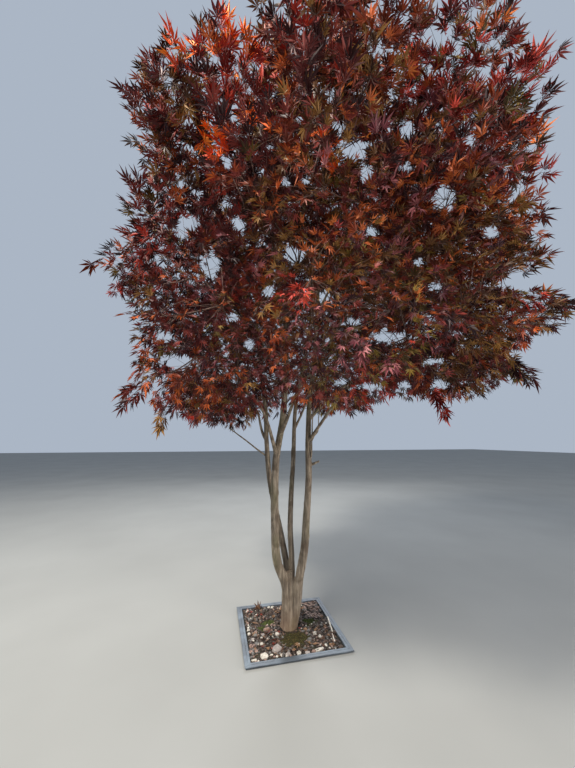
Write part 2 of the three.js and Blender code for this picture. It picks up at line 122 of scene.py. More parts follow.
# Foliage masses: the stem that carries each and the height where its bough leaves it, or None at a stem's
# tip, then the bearing and distance from the crown's axis, the height and the reach of its space.
CROWN_AXIS = (236, -262)
SQUASH = 0.8
MASSES = [
    ("low_left", "left", 1390, 206, 950, 2150, 750),
    ("low_front", "left", 1560, 257, 880, 2200, 740),
    ("low_right_front", "right", 1500, 309, 970, 2340, 750),
    ("low_right", "right", 1700, 352, 1150, 2400, 760),
    ("low_back_right", "middle", 1620, 62, 990, 2300, 760),
    ("low_back_left", "back_left", 1520, 137, 1010, 2200, 760),
    ("mid_left", "left", 2050, 191, 1110, 2830, 770),
    ("mid_front", "left", 2300, 244, 860, 3000, 760),
    ("mid_right_front", "right", 2150, 300, 1030, 3040, 770),
    ("mid_right", "right", 2380, 347, 1080, 3080, 770),
    ("mid_back_right", "middle", 2250, 42, 1040, 3080, 770),
    ("mid_back_left", "back_left", 2100, 109, 1040, 2980, 770),
    ("high_left", "left", None, 205, 1060, 3800, 780),
    ("high_front", "right", 2900, 257, 840, 3880, 760),
    ("high_right_front", "right", 2750, 310, 1060, 3880, 780),
    ("high_right", "middle", 2700, 359, 950, 3840, 770),
    ("high_back", "middle", None, 62, 900, 3840, 770),
    ("high_back_left", "back_left", None, 132, 920, 3820, 770),
    ("top", "right", None, 230, 60, 4500, 920),
]

# Boughs
BOUGH_ROOT_SHARE = 0.62
BOUGH_TIP_RADIUS = 8
BOUGH_TAPER = 0.8
BOUGH_HANDLE = 0.42
BOUGH_RISE = 1.1
BOUGH_END_RISE = 0.12
MASS_ENTRY = 0.62
CLEARANCE = 0.35

# Twigs and sprays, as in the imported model
TWIG_NODES = 8
TWIG_THICKENING = 0.36
TWIG_SAMPLING = 25
FIRST_SHOOT = 110
NODE_REACH = 0.66
NODE_TRIES = 14
MOST_ROUNDS = 240
WAY_HOME_SHARE = 0.35
SPRAYS_PER_MASS = 19
SPRAYS_PER_NODE = 3
SPRAY_TRIES = 60
SPRAY_LENGTH = (380, 480)
SPRAY_TILT = 0.5
SPRAY_RISE = 0.8
SPRAY_OUTWARD = 1.2
SPRAY_LEVEL = 0.8
SPRAY_STEP = 16
OWN_TWIG_CLEAR = 30
SPRAY_SPINE = 0.14
SPRAY_MIDDLE = 0.45
SPRAY_SAMPLING = 40
SPRAY_OUTLINE = [(0, 0), (50, 0.84), (22, 0.46), (0, 1), (-22, 0.46), (-50, 0.84)]
SPRAY_TIP = 3
SPACE_MARGIN = 12
TWIG_MARGIN = 36
LIMB_MARGIN = 22
LIMB_SAMPLING = 20
GROWTH_SEED = 20
LEAFLESS = -1

# Finer twigs: the same rule carried on inside each spray
FINE_NODES = 18
FINE_TRIES = 6
FINE_FAN = 60
FINE_REACH = 0.88
FINE_SIDE_REACH = 0.76
FINE_LEAST_SHARE = 0.03
FINE_THICKNESS = 52
FINE_DROOP = 24
FINE_TIP_RADIUS = 0.9
FINE_LIMB_MARGIN = 8
FINE_SEED = 500

# More twigs between the sprays, through the whole of a mass's space but few of them near the stems
FILL_NODES = 215
TOP_FILL_NODES = 430
FILL_TRIES = 5
FILL_DRAWN = 12
FILL_TESTED = 2
FILL_REACH = (0.34, 0.86)
TOP_FILL_REACH = (0.30, 0.97)
FILL_MARGIN = 20
CORE_REACH = 620
CORE_TOP = 3800
CORE_SHARE = 0.22

# Twigs as tubes: the radius from which they are rounder, sides and steps of both kinds, bend and foot
THICK_TWIG = 2.5
THICK_TUBE = (6, 4)
THIN_TUBE = (3, 2)
TWIG_BEND = 0.05
TWIG_FOOT_GROWTH = 1.2

# Leafy shoots that stand out of the crown, the long ones with their tips and the colours that some keep
SHOOTS_PER_MASS = 6
SHOOT_ROOM = 400
SHOOT_LENGTH = (90, 190)
SHOOT_STEP = 46
SHOOT_SPACING = 260
SHOOT_ARCH = 0.12
SHOOT_JITTER = 4
SHOOT_LOOSENESS = 0.25
SHOOT_FLATNESS = np.array([1, 1, 0.6])
CROWN_CENTRE = np.array([*CROWN_AXIS, 3000])
CROWN_SHAPE = np.array([1, 1, 1.15])
LONG_SHOOTS = {
    "mid_left": [((-1570, -600, 2700), None)],
    "low_left": [((-1160, -800, 1725), "maroon"), ((-1205, -700, 1800), "rust")],
    "high_right_front": [((1600, -1500, 4250), None)],
    "low_right": [((1930, -1000, 2560), None)],
    "low_right_front": [((1530, -960, 1990), None), ((880, -950, 1700), None)],
}
# How far blades, and the tips of shoots, may pass the model's box
BOX_MARGIN = 85
SHOOT_BOX_MARGIN = 20

# Leaves in pairs on the twigs
LEAF_LENGTH = (52, 82)
SHOOT_LEAF_GROWTH = 1.3
LEAF_PAIR_STEP = 45
LEAF_PAIR_SHARE = 0.45
LEAF_PAIRS = 2
PAIR_TURN = 62
PAIR_LOOSENESS = 28
PETIOLE_LENGTH = (14, 30)
PETIOLE_WIDTH = 1.5
PETIOLE_LEAN = (0.45, 1.3)
PETIOLE_RISE = 0.15
LEAF_LIMB_GAP = 24

# What changes with height in the crown: the share of leaves left, their growth and how far they rise
LEAVES_LEFT = ([2500, 3300, 4200], [1.0, 0.80, 0.66])
LEAF_GROWTH = ([2400, 3300], [1.0, 1.22])
LEAF_RISE = ([1700, 2500, 3300, 4300], [-0.55, -0.15, 0.35, 0.7])
# How much smaller leaves are at distances from the camera
NEAR_LEAVES = ([900, 2500], [0.42, 1.0])

# How leaves hang: how far they and their faces turn outward, and how loosely
LEAF_OUTWARD = 0.5
FACE_OUTWARD = 0.35
RISE_LOOSENESS = 0.28
LEAF_LOOSENESS = 0.18
FACE_LOOSENESS = 0.40

# A blade's lobes, with their turns in degrees and lengths in shares of the blade, and how blades vary
LEAF_LOBES = [(-108, 0.36), (-72, 0.66), (-36, 0.91), (0, 1.0), (36, 0.91), (72, 0.66), (108, 0.36)]
LOBE_WIDEST = 0.44
LOBE_HALF_ANGLE = 15.0
LOBE_FOLD = 0.035
LOBE_LOOSENESS = 2.0
LOBE_GROWTH = (0.92, 1.06)
LEAF_CUP = (-0.05, 0.40)
LEAF_CURL = (0.05, 0.40)
LEAF_SWEEP = (0.66, 0.98)
LEAF_VARIANTS = 12
LEAF_SEED = 900


# Small vector helpers

def lengths(vectors):
    return np.sqrt(np.sum(np.square(vectors), axis=-1))


def unit(vectors):
    return vectors / np.maximum(lengths(vectors), 1e-9)[..., None]


def lerp(start, end, share):
    return start + (end - start) * share


def seeded(seed):
    """Seeded numbers from 0 to 1, so that the plant grows the same way every time."""
    state = seed

    def draw():
        nonlocal state
        state = (state * 1664525 + 1013904223) & 0xFFFFFFFF
        return state / 4294967296

    return draw


# Limbs

class Curve:
    """A curve read by its share of the way along, through a table of chords."""

    CHORDS = 200
    TANGENT_STEP = 1e-4

    def __init__(self, at_parameter):
        self.at_parameter = at_parameter
        self.parameters = np.linspace(0, 1, self.CHORDS + 1)
        steps = lengths(np.diff(at_parameter(self.parameters), axis=0))
        self.table = np.concatenate([[0], np.cumsum(steps)])
        self.length = self.table[-1]

    def parameter(self, share):
        return np.interp(np.asarray(share) * self.length, self.table, self.parameters)

    def at(self, share):
        points = self.at_parameter(np.atleast_1d(self.parameter(share)))
        return points[0] if np.ndim(share) == 0 else points

    def tangent(self, share):
        middle = self.parameter(share)
        ends = np.clip([middle - self.TANGENT_STEP, middle + self.TANGENT_STEP], 0, 1)
        behind, before = self.at_parameter(ends)
        return unit(before - behind)


def centripetal_curve(points):
    """A centripetal Catmull-Rom curve through the points."""
    points = np.array(points, float)
    padded = np.vstack([2 * points[0] - points[1], points, 2 * points[-1] - points[-2]])
    gaps = np.sum(np.square(np.diff(padded, axis=0)), axis=1) ** 0.25

    def at_parameter(parameters):
        place = parameters * (len(points) - 1)
        i = np.minimum(place.astype(int), len(points) - 2)
        w = (place - i)[:, None]
        p0, p1, p2, p3 = (padded[i + k] for k in range(4))
        g0, g1, g2 = (gaps[i + k][:, None] for k in range(3))
        leaving = ((p1 - p0) / g0 - (p2 - p0) / (g0 + g1) + (p2 - p1) / g1) * g1
        arriving = ((p2 - p1) / g1 - (p3 - p1) / (g1 + g2) + (p3 - p2) / g2) * g1
        bend = 3 * (p2 - p1) - 2 * leaving - arriving
        return p1 + leaving * w + bend * w**2 + (2 * (p1 - p2) + leaving + arriving) * w**3

    return Curve(at_parameter)


def bezier_curve(start, leave, arrive, end):
    def at_parameter(parameters):
        t = parameters[:, None]
        s = 1 - t
        return s**3 * start + 3 * s**2 * t * leave + 3 * s * t**2 * arrive + t**3 * end

    return Curve(at_parameter)


def straight_curve(start, way):
    return Curve(lambda parameters: start + way * parameters[:, None])


def share_at_height(curve, height):
    """The share of a rising curve's way at which it reaches a height."""
    low, high = 0.0, 1.0
    while high - low > SHARE_PRECISION:
        middle = (low + high) / 2
        if curve.at(middle)[2] < height:
            low = middle
        else:
            high = middle
    return low


def stem_of(stem):
    curve = centripetal_curve(stem.way)
    crown = share_at_height(curve, CROWN_BASE)

    def radius_at(along):
        along = np.asarray(along, float)
        below = lerp(stem.foot, stem.crown, along / crown)
        above = lerp(stem.crown, stem.tip, (along - crown) / (1 - crown))
        return np.where(along < crown, below, above)

    return SimpleNamespace(curve=curve, radius_at=radius_at)


def limb_samples(limb):
    count = math.ceil(limb.curve.length / LIMB_SAMPLING)
    shares = np.arange(count + 1) / count
    return np.column_stack([limb.curve.at(shares), limb.radius_at(shares)])


# Foliage spaces

def unsquash(offset):
    return offset / np.array([1, 1, SQUASH])


def mass_of(name, stem, height_on_stem, bearing, out, height, spread):
    angle = math.radians(bearing)
    x, y = CROWN_AXIS
    middle = np.array([x + out * math.cos(angle), y + out * math.sin(angle), height])
    return SimpleNamespace(name=name, stem=stem, at=height_on_stem, middle=middle, spread=spread)


def room_inside(points, mass):
    """How far points lie inside a mass's space: its ball, less what is nearer to a neighbour."""
    distance = lengths(unsquash(points - mass.middle))
    own = distance**2 - mass.spread**2
    room = mass.spread - distance
    for other, apart in mass.neighbours:
        theirs = np.sum(np.square(unsquash(points - other.middle)), axis=-1) - other.spread**2
        room = np.minimum(room, (theirs - own) / (2 * apart))
    return room


def bough_of(stem, mass):
    share = share_at_height(stem.curve, mass.at)
    start = stem.curve.at(share)
    back = start - mass.middle
    end = mass.middle + back * (MASS_ENTRY * mass.spread / lengths(unsquash(back)))
    out = unit(np.array([end[0] - start[0], end[1] - start[1], 0]))
    handle = BOUGH_HANDLE * lengths(end - start)
    leaving = unit(out + BOUGH_RISE * stem.curve.tangent(share))
    ending = unit(out + BOUGH_END_RISE * UP)
    curve = bezier_curve(start, start + handle * leaving, end - handle * ending, end)
    root = float(stem.radius_at(share)) * BOUGH_ROOT_SHARE
    return SimpleNamespace(
        curve=curve, radius_at=lambda along: lerp(root, BOUGH_TIP_RADIUS, np.asarray(along) ** BOUGH_TAPER),
    )


def plant_skeleton():
    stems = {name: stem_of(stem) for name, stem in STEMS.items()}
    masses = [mass_of(*row) for row in MASSES]
    for mass in masses:
        others = [other for other in masses if other is not mass]
        apart = [(other, lengths(unsquash(other.middle - mass.middle))) for other in others]
        mass.neighbours = [(other, gap) for other, gap in apart if gap < other.spread + mass.spread]
        mass.bough = bough_of(stems[mass.stem], mass) if mass.at else None
        carrier = mass.bough.curve if mass.bough else stems[mass.stem].curve
        mass.entry, mass.way = carrier.at(1.0), carrier.tangent(1.0)
    limbs = [*stems.values(), *(mass.bough for mass in masses if mass.bough)]
    spots = np.vstack([limb_samples(limb) for limb in limbs])
    for mass in masses:
        near = lengths(spots[:, :3] - mass.middle) < mass.spread + SPRAY_SAMPLING
        mass.limbs = spots[near]
    return stems, masses


# Growth by the model's rule

def clear_of_limbs(points, limbs, margin):
    gaps = lengths(points[:, None] - limbs[None, :, :3])
    return np.all(gaps > limbs[:, 3] + margin, axis=1)


def points_between(start, end, spacing):
    count = math.ceil(lengths(end - start) / spacing)
    return start + (end - start) * (np.arange(1, count + 1) / count)[:, None]


def spot_in(mass, draw):
    turn = 2 * math.pi * draw()
    lift = 2 * draw() - 1
    reach = NODE_REACH * mass.spread * draw() ** (1 / 3)
    level = reach * math.sqrt(1 - lift * lift)
    return mass.middle + np.array([level * math.cos(turn), level * math.sin(turn), SQUASH * reach * lift])


class Growth:
    """The twig nodes of one mass, each with its parent, its way back to the stem and its leaves' colour."""

    def __init__(self, root, most):
        self.count = 1
        self.points = np.zeros((most, 3))
        self.points[0] = root
        self.parents = np.zeros(most, int)
        self.homes = np.zeros(most)
        self.families = np.full(most, LEAFLESS)

    def add(self, spot, parent, family=LEAFLESS):
        i = self.count
        self.points[i], self.parents[i], self.families[i] = spot, parent, family
        self.homes[i] = self.homes[parent] + lengths(spot - self.points[parent])
        self.count += 1
        return i

    def roomiest(self, tries, first):
        """Of several spots the one furthest from all nodes since the first that counts."""
        gaps = lengths(tries[:, None] - self.points[None, first:self.count]).min(axis=1)
        return tries[int(np.argmax(gaps))]

    def nearest(self, spot, first):
        """The node nearest to a spot, counting a share of its way back to the stem."""
        costs = lengths(self.points[first:self.count] - spot) + WAY_HOME_SHARE * self.homes[first:self.count]
        return first + int(np.argmin(costs))

    def grow(self, tries, first, rng):
        """A leafy node at the roomiest of several spots, joined to the node nearest there."""
        spot = self.roomiest(tries, first)
        parent = self.nearest(spot, first)
        self.add(spot, parent, mixed_family(spot, self.families[parent], rng))


def grow_twigs(mass, draw):
    """The model's twigs. A node that would bring its twig near a limb or the space's edge is left out."""
    most = TWIG_NODES + 2 + SPRAYS_PER_MASS * (FINE_NODES + 1) + TOP_FILL_NODES + SHOOT_ROOM
    tree = Growth(mass.entry + mass.way * CLEARANCE, most)
    tree.add(mass.entry + mass.way * FIRST_SHOOT, 0)
    for _ in range(MOST_ROUNDS):
        if tree.count >= TWIG_NODES + 2:
            break
        spot = tree.roomiest(np.array([spot_in(mass, draw) for _ in range(NODE_TRIES)]), 0)
        parent = tree.nearest(spot, 1)
        way = points_between(tree.points[parent], spot, TWIG_SAMPLING)
        roomy = np.all(room_inside(way, mass) >= TWIG_MARGIN)
        if roomy and np.all(clear_of_limbs(way, mass.limbs, LIMB_MARGIN)):
            tree.add(spot, parent)
    return tree


def spray_at(root, ahead, across, length):
    turns = np.radians([turn for turn, _ in SPRAY_OUTLINE])
    reaches = length * np.array([reach for _, reach in SPRAY_OUTLINE])
    outline = root + (reaches * np.cos(turns))[:, None] * ahead + (reaches * np.sin(turns))[:, None] * across
    return SimpleNamespace(
        root=root, ahead=ahead, across=across, length=length, outline=outline,
        spine=root + SPRAY_SPINE * length * ahead, centre=root + SPRAY_MIDDLE * length * ahead,
    )


def spray_samples(spray):
    rim = [points_between(spray.outline[i], spray.outline[i + 1], SPRAY_SAMPLING)
           for i in range(len(spray.outline) - 1)]
    return np.vstack([points_between(spray.spine, corner, SPRAY_SAMPLING) for corner in np.vstack(rim)])


def spray_faces(spray):
    following = np.roll(spray.outline, -1, axis=0)
    spines = np.broadcast_to(spray.spine, spray.outline.shape)
    return np.stack([spines, spray.outline, following], axis=1)


def spray_edges(spray):
    following = np.roll(spray.outline, -1, axis=0)
    around = np.stack([spray.outline, following], axis=1)
    return np.concatenate([around, [[spray.root, spray.outline[SPRAY_TIP]]]])


def pierces(edges, faces):
    """Whether any edge, a pair of points, goes through any face, three points."""
    start, way = edges[:, None, 0], (edges[:, 1] - edges[:, 0])[:, None]
    first, second = faces[None, :, 1] - faces[None, :, 0], faces[None, :, 2] - faces[None, :, 0]
    normal = np.cross(first, second)
    facing = np.sum(way * normal, axis=-1)
    facing = np.where(np.abs(facing) < 1e-12, np.nan, facing)
    apart = start - faces[None, :, 0]
    along = -np.sum(apart * normal, axis=-1) / facing
    turned = np.cross(way, apart)
    b1 = np.sum(second * turned, axis=-1) / -facing
    b2 = np.sum(first * turned, axis=-1) / facing
    with np.errstate(invalid="ignore"):
        hits = (along >= 0) & (along < 1) & (b1 >= 0) & (b2 >= 0) & (b1 + b2 <= 1)
    return bool(np.any(hits))


def sprays_cross(spray, other):
    if lengths(spray.centre - other.centre) > spray.length + other.length:
        return False
    return pierces(spray_edges(spray), spray_faces(other)) or pierces(spray_edges(other), spray_faces(spray))


def crosses_twig(spray, twigs):
    starts, ends = twigs[:, 0], twigs[:, 1]
    ways = unit(ends - starts)
    near_start = lengths(starts - spray.root) < OWN_TWIG_CLEAR
    near_end = lengths(ends - spray.root) < OWN_TWIG_CLEAR
    held_start = starts + ways * (OWN_TWIG_CLEAR * near_start)[:, None]
    held_end = ends - ways * (OWN_TWIG_CLEAR * near_end)[:, None]
    return pierces(np.stack([held_start, held_end], axis=1), spray_faces(spray))


def spray_try(mass, points, parents, index, taken, draw):
    """A spray points away from the mass's middle and lies along its outside, tilted at random."""
    root = points[index].copy()
    if index > 0:
        root += unit(points[parents[index]] - root) * (SPRAY_STEP * taken)
    turn = 2 * math.pi * draw()
    outward = unsquash(points[index] - mass.middle) / mass.spread
    ahead = np.array([math.cos(turn), math.sin(turn), SPRAY_RISE * (2 * draw() - 1)])
    ahead = unit(ahead + SPRAY_OUTWARD * outward)
    face = outward + SPRAY_LEVEL * UP + SPRAY_TILT * np.array([2 * draw() - 1 for _ in range(3)])
    across = unit(np.cross(face, ahead))
    length = lerp(*SPRAY_LENGTH, draw())
    return spray_at(root, ahead, across, length)


def grow_sprays(mass, tree, draw):
    """Sprays go where there is most room: each is the best of several tries at nodes that can take one."""
    points, parents = tree.points[:tree.count], tree.parents[:tree.count]
    sprays = []
    taken = [0] * len(points)
    taken[0] = SPRAYS_PER_NODE
    twigs = np.array([[points[parent], point] for point, parent in zip(points[1:], parents[1:])])
    for _ in range(SPRAYS_PER_MASS):
        tries = []
        for _ in range(SPRAY_TRIES):
            node = int(draw() * len(points))
            spray = spray_try(mass, points, parents, node, taken[node], draw)
            if taken[node] < SPRAYS_PER_NODE:
                gap = min((lengths(other.centre - spray.centre) for other in sprays), default=math.inf)
                tries.append((gap, node, spray))
        for _, node, spray in sorted(tries, key=lambda row: -row[0]):
            samples = spray_samples(spray)
            if (np.all(room_inside(samples, mass) >= SPACE_MARGIN)
                    and np.all(clear_of_limbs(samples, mass.limbs, LIMB_MARGIN))
                    and not any(sprays_cross(spray, other) for other in sprays)
                    and not crosses_twig(spray, twigs)):
                taken[node] += 1
                spray.node = node
                sprays.append(spray)
                break
    return sprays


# The crown as the photograph shows it

def in_photo(points):
    """Where points in millimetres lie in the photograph, in its pixels."""
    away = points - np.array(CAMERA_PLACE) / MM
    turn, pitch = math.radians(CAMERA_YAW), math.radians(CAMERA_PITCH)
    level = away[:, 0] * math.sin(turn) + away[:, 1] * math.cos(turn)
    right = away[:, 0] * math.cos(turn) - away[:, 1] * math.sin(turn)
    depth = level * math.cos(pitch) + away[:, 2] * math.sin(pitch)
    above = away[:, 2] * math.cos(pitch) - level * math.sin(pitch)
    depth = np.maximum(depth, 1)
    return PHOTO_WIDTH / 2 + FOCAL_PIXELS * right / depth, PHOTO_HEIGHT / 2 - FOCAL_PIXELS * above / depth


# Where the photograph shows sky through the crown: middle and half sizes in its pixels
SKY_GAPS = [
    (212, 265, 9, 15), (232, 317, 9, 7), (238, 225, 7, 10), (295, 255, 10, 9), (326, 297, 9, 7),
    (352, 150, 17, 13), (390, 337, 20, 8), (442, 202, 12, 11), (522, 285, 40, 7), (366, 172, 8, 9),
    (300, 120, 6, 6), (268, 292, 6, 6), (181, 232, 7, 9), (200, 196, 6, 7), (160, 262, 6, 7),
    (352, 322, 9, 5), (410, 130, 8, 8), (470, 140, 8, 8), (330, 96, 6, 7), (262, 172, 6, 7),
    (420, 262, 9, 6), (372, 232, 7, 6), (492, 232, 8, 7), (250, 345, 7, 5), (178, 361, 20, 7),
    (436, 287, 8, 7), (432, 361, 12, 5), (404, 384, 8, 5), (340, 382, 9, 4), (370, 386, 13, 4),
    (440, 383, 10, 5), (435, 38, 11, 12), (190, 225, 12, 8), (165, 335, 12, 6), (340, 128, 9, 8),
    (406, 168, 9, 6), (450, 195, 9, 9), (300, 30, 7, 8), (392, 95, 6, 7), (228, 205, 7, 6), (241, 50, 8, 9),
    (232, 112, 5, 9), (225, 160, 6, 7), (286, 183, 6, 6), (306, 182, 6, 5), (270, 148, 6, 5),
    (190, 122, 7, 5), (180, 185, 8, 4),
]
# The crown's outline in the photograph: how far down, then its left and right ends there, in its pixels
CROWN_EDGE = [
    (0, 203, 502), (22, 198, 520), (45, 160, 552), (75, 142, 548), (92, 124, 540), (110, 127, 532),
    (135, 140, 534), (158, 122, 545), (190, 124, 534), (204, 130, 557), (230, 126, 548), (250, 118, 553),
    (262, 112, 545), (272, 118, 515), (284, 122, 482), (292, 124, 545), (306, 130, 585), (320, 140, 560),
    (336, 152, 528), (350, 150, 498), (364, 138, 508), (378, 128, 518), (392, 127, 488), (402, 130, 420),
    (412, 132, 330), (422, 138, 262), (430, 150, 215),
]
# How raggedly leaves end at the crown's outline, in pixels, and at a gap, in shares of its size squared
EDGE_SOFTNESS = 7
GAP_EDGE = (0.3, 1.7)


def out_of_gaps(across, down, rng):
    """Which places in the photograph lie out of its gaps, whose edges are ragged."""
    out = np.full(len(across), True)
    for x, y, wide, tall in SKY_GAPS:
        away = ((across - x) / wide) ** 2 + ((down - y) / tall) ** 2
        out &= away > rng.uniform(*GAP_EDGE, len(across))
    return out


def shown(points, rng):
    """Points within the crown's outline in the photograph, and out of the gaps where sky shows."""
    across, down = in_photo(points)
    rows, left, right = np.array(CROWN_EDGE, float).T
    soft = rng.normal(0, EDGE_SOFTNESS, len(points))
    inside = across > np.interp(down, rows, left) + soft
    inside &= across < np.interp(down, rows, right) - soft
    inside &= down < rows[-1]
    inside |= down < rows[0]
    return inside & out_of_gaps(across, down, rng)


# Finer growth inside each spray

def grow_spray_twigs(tree, spray, mass, rng):
    """The model's rule again, with spots drawn in the spray's own fan, which droops towards its tip."""
    face = np.cross(spray.ahead, spray.across)
    family = family_of(spray.centre, rng)
    first = tree.add(spray.root, spray.node, family)
    turns = np.radians(rng.uniform(-FINE_FAN, FINE_FAN, (FINE_NODES, FINE_TRIES)))
    widest = lerp(FINE_REACH, FINE_SIDE_REACH, np.abs(turns) / math.radians(FINE_FAN))
    reaches = spray.length * widest * np.sqrt(rng.uniform(FINE_LEAST_SHARE, 1, turns.shape))
    offsets = rng.normal(0, FINE_THICKNESS, turns.shape)
    spots = (spray.root + (reaches * np.cos(turns))[..., None] * spray.ahead
             + (reaches * np.sin(turns))[..., None] * spray.across + offsets[..., None] * face)
    spots[..., 2] -= FINE_DROOP * (reaches / spray.length) ** 2
    for tries in spots:
        tries = tries[shown(tries, rng) & clear_of_limbs(tries, mass.limbs, FINE_LIMB_MARGIN)]
        if len(tries):
            tree.grow(tries, first, rng)


def grow_fill_twigs(tree, mass, rng):
    """Twigs between the sprays, each spot the roomiest of several in the mass's space."""
    on_top = mass.name == "top"
    wanted = TOP_FILL_NODES if on_top else FILL_NODES
    most = FILL_DRAWN * wanted * FILL_TRIES
    ways = unit(rng.normal(size=(most, 3)))
    reaches = mass.spread * lerp(*(TOP_FILL_REACH if on_top else FILL_REACH), np.sqrt(rng.random(most)))
    spots = mass.middle + ways * reaches[:, None] * np.array([1, 1, SQUASH])
    chance = rng.random(most)
    core = (lengths(spots[:, :2] - np.array(CROWN_AXIS)) < CORE_REACH) & (spots[:, 2] < CORE_TOP)
    spots = spots[~core | (chance < CORE_SHARE)]
    spots = spots[(room_inside(spots, mass) > FILL_MARGIN) & shown(spots, rng)]
    spots = spots[:FILL_TESTED * wanted * FILL_TRIES]
    spots = spots[clear_of_limbs(spots, mass.limbs, FINE_LIMB_MARGIN)]
    for i in range(min(wanted, len(spots) // FILL_TRIES)):
        tree.grow(spots[i * FILL_TRIES:(i + 1) * FILL_TRIES], 1, rng)


def add_shoot(tree, start, tip, rng, family=None):
    """A leafy shoot in an arch from one node to its tip."""
    foot = tree.points[start].copy()
    span = lengths(tip - foot)
    count = max(2, round(span / SHOOT_STEP))
    family = list(FAMILIES).index(family) if family else mixed_family(tip, tree.families[start], rng)
    parent = start
    for step in range(1, count + 1):
        share = step / count
        arch = 4 * share * (1 - share) * SHOOT_ARCH * span
        spot = lerp(foot, tip, share) + arch * UP + rng.normal(0, SHOOT_JITTER, 3)
        parent = tree.add(spot, parent, family)


def grow_shoots(tree, mass, rng):
    """Shoots from the nodes that lie furthest out, spaced apart, and the long ones to their own tips."""
    low, high = (np.array(corner) / MM for corner in cad_box)
    low, high = low - SHOOT_BOX_MARGIN, high + SHOOT_BOX_MARGIN
    nodes = np.arange(1, tree.count)
    outward = (tree.points[nodes] - CROWN_CENTRE) / CROWN_SHAPE
    order = nodes[np.argsort(-lengths(outward))]
    chosen = []
    for node in order:
        if len(chosen) >= SHOOTS_PER_MASS:
            break
        place = tree.points[node]
        if all(lengths(place - tree.points[other]) > SHOOT_SPACING for other in chosen):
            chosen.append(node)
    for node in chosen:
        place = tree.points[node]
        rise = np.interp(place[2], *LEAF_RISE)
        way = unit((place - CROWN_CENTRE) * SHOOT_FLATNESS) + rise * UP
        way = unit(way + rng.normal(0, SHOOT_LOOSENESS, 3))
        tip = place + way * lerp(*SHOOT_LENGTH, rng.random())
        if np.all((tip > low) & (tip < high)) and shown(tip[None], rng)[0]:
            add_shoot(tree, node, tip, rng)
    for tip, family in LONG_SHOOTS.get(mass.name, []):
        tip = np.clip(np.array(tip, float), low, high)
        add_shoot(tree, tree.nearest(tip, 1), tip, rng, family)


def grow_tree(mass, number):
    """All twigs of one mass: the model's own, finer ones in each spray, more in between, and shoots."""
    draw = seeded(GROWTH_SEED + number)
    tree = grow_twigs(mass, draw)
    sprays = grow_sprays(mass, tree, draw)
    rng = np.random.default_rng(FINE_SEED + number)
    tree.fine_from = tree.count
    for spray in sprays:
        grow_spray_twigs(tree, spray, mass, rng)
    grow_fill_twigs(tree, mass, rng)
    tree.shoots_from = tree.count
    grow_shoots(tree, mass, rng)
    loads = np.ones(tree.count)
    for i in range(tree.count - 1, 0, -1):
        loads[tree.parents[i]] += loads[i]
    tree.radii = FINE_TIP_RADIUS * loads**TWIG_THICKENING
    return tree, rng


def leaves_on(tree, rng):
    """Opposite pairs of leaves at each node and a little way back from it, turned from pair to pair."""
    leafy = np.flatnonzero(tree.families[:tree.count] != LEAFLESS)
    nodes = np.repeat(leafy, LEAF_PAIRS * 2)
    pair = np.tile(np.repeat(np.arange(LEAF_PAIRS), 2), len(leafy))
    side = np.tile([1, -1], len(leafy) * LEAF_PAIRS)
    ends = tree.points[nodes]
    ways = ends - tree.points[tree.parents[nodes]]
    spans = lengths(ways)
    ways = unit(ways)
    starts = ends - ways * np.minimum(LEAF_PAIR_STEP * pair, LEAF_PAIR_SHARE * spans)[:, None]
    level = unit(np.cross(ways, NEARLY_UP))
    standing = np.cross(level, ways)
    count = len(nodes)
    turn = np.radians(rng.normal(0, PAIR_LOOSENESS, count) + PAIR_TURN * pair)
    sideways = side[:, None] * (np.cos(turn)[:, None] * level + np.sin(turn)[:, None] * standing)
    leaning = rng.uniform(*PETIOLE_LEAN, count)[:, None]
    petiole = unit(ways * leaning + sideways + PETIOLE_RISE * UP)
    bases = starts + petiole * rng.uniform(*PETIOLE_LENGTH, count)[:, None]
    sizes = rng.uniform(*LEAF_LENGTH, count) * np.where(nodes >= tree.shoots_from, SHOOT_LEAF_GROWTH, 1)
    sizes *= np.interp(bases[:, 2], *LEAF_GROWTH)
    sizes *= np.interp(lengths(bases * MM - CAMERA_PLACE), np.array(NEAR_LEAVES[0]) * MM, NEAR_LEAVES[1])
    return nodes, starts, bases, petiole, sizes, TINTS * tree.families[nodes] + rng.integers(0, TINTS, count)


# Meshes from arrays

def mesh_object(name, points, triangles, materials, indices=None, smooth=False):
    """A joined mesh, in metres, from points in millimetres."""
    mesh = bpy.data.meshes.new(name)
    mesh.vertices.add(len(points))
    mesh.vertices.foreach_set("co", (np.asarray(points, np.float32) * MM).ravel())
    mesh.loops.add(3 * len(triangles))
    mesh.loops.foreach_set("vertex_index", np.asarray(triangles, np.int32).ravel())
    mesh.polygons.add(len(triangles))
    mesh.polygons.foreach_set("loop_start", np.arange(0, 3 * len(triangles), 3, dtype=np.int32))
    for material in materials:
        mesh.materials.append(material)
    if indices is not None:
        mesh.polygons.foreach_set("material_index", np.asarray(indices, np.int32))
    mesh.polygons.foreach_set("use_smooth", np.full(len(triangles), smooth))
    mesh.update(calc_edges=True)
    mesh.validate()
    obj = bpy.data.objects.new(name, mesh)
    bpy.context.scene.collection.objects.link(obj)
    return obj


def ring_angles(sides):
    return 2 * math.pi * np.arange(sides) / sides


def ring_faces(rings, sides):
    """Triangles of a closed tube whose rings of points follow each other, with both ends capped."""
    faces = []
    for ring in range(rings - 1):
        for k in range(sides):
            a, b = ring * sides + k, ring * sides + (k + 1) % sides
            faces += [(a, b, b + sides), (a, b + sides, a + sides)]
    last = (rings - 1) * sides
    for k in range(1, sides - 1):
        faces += [(0, k + 1, k), (last, last + k, last + k + 1)]
    return np.array(faces)


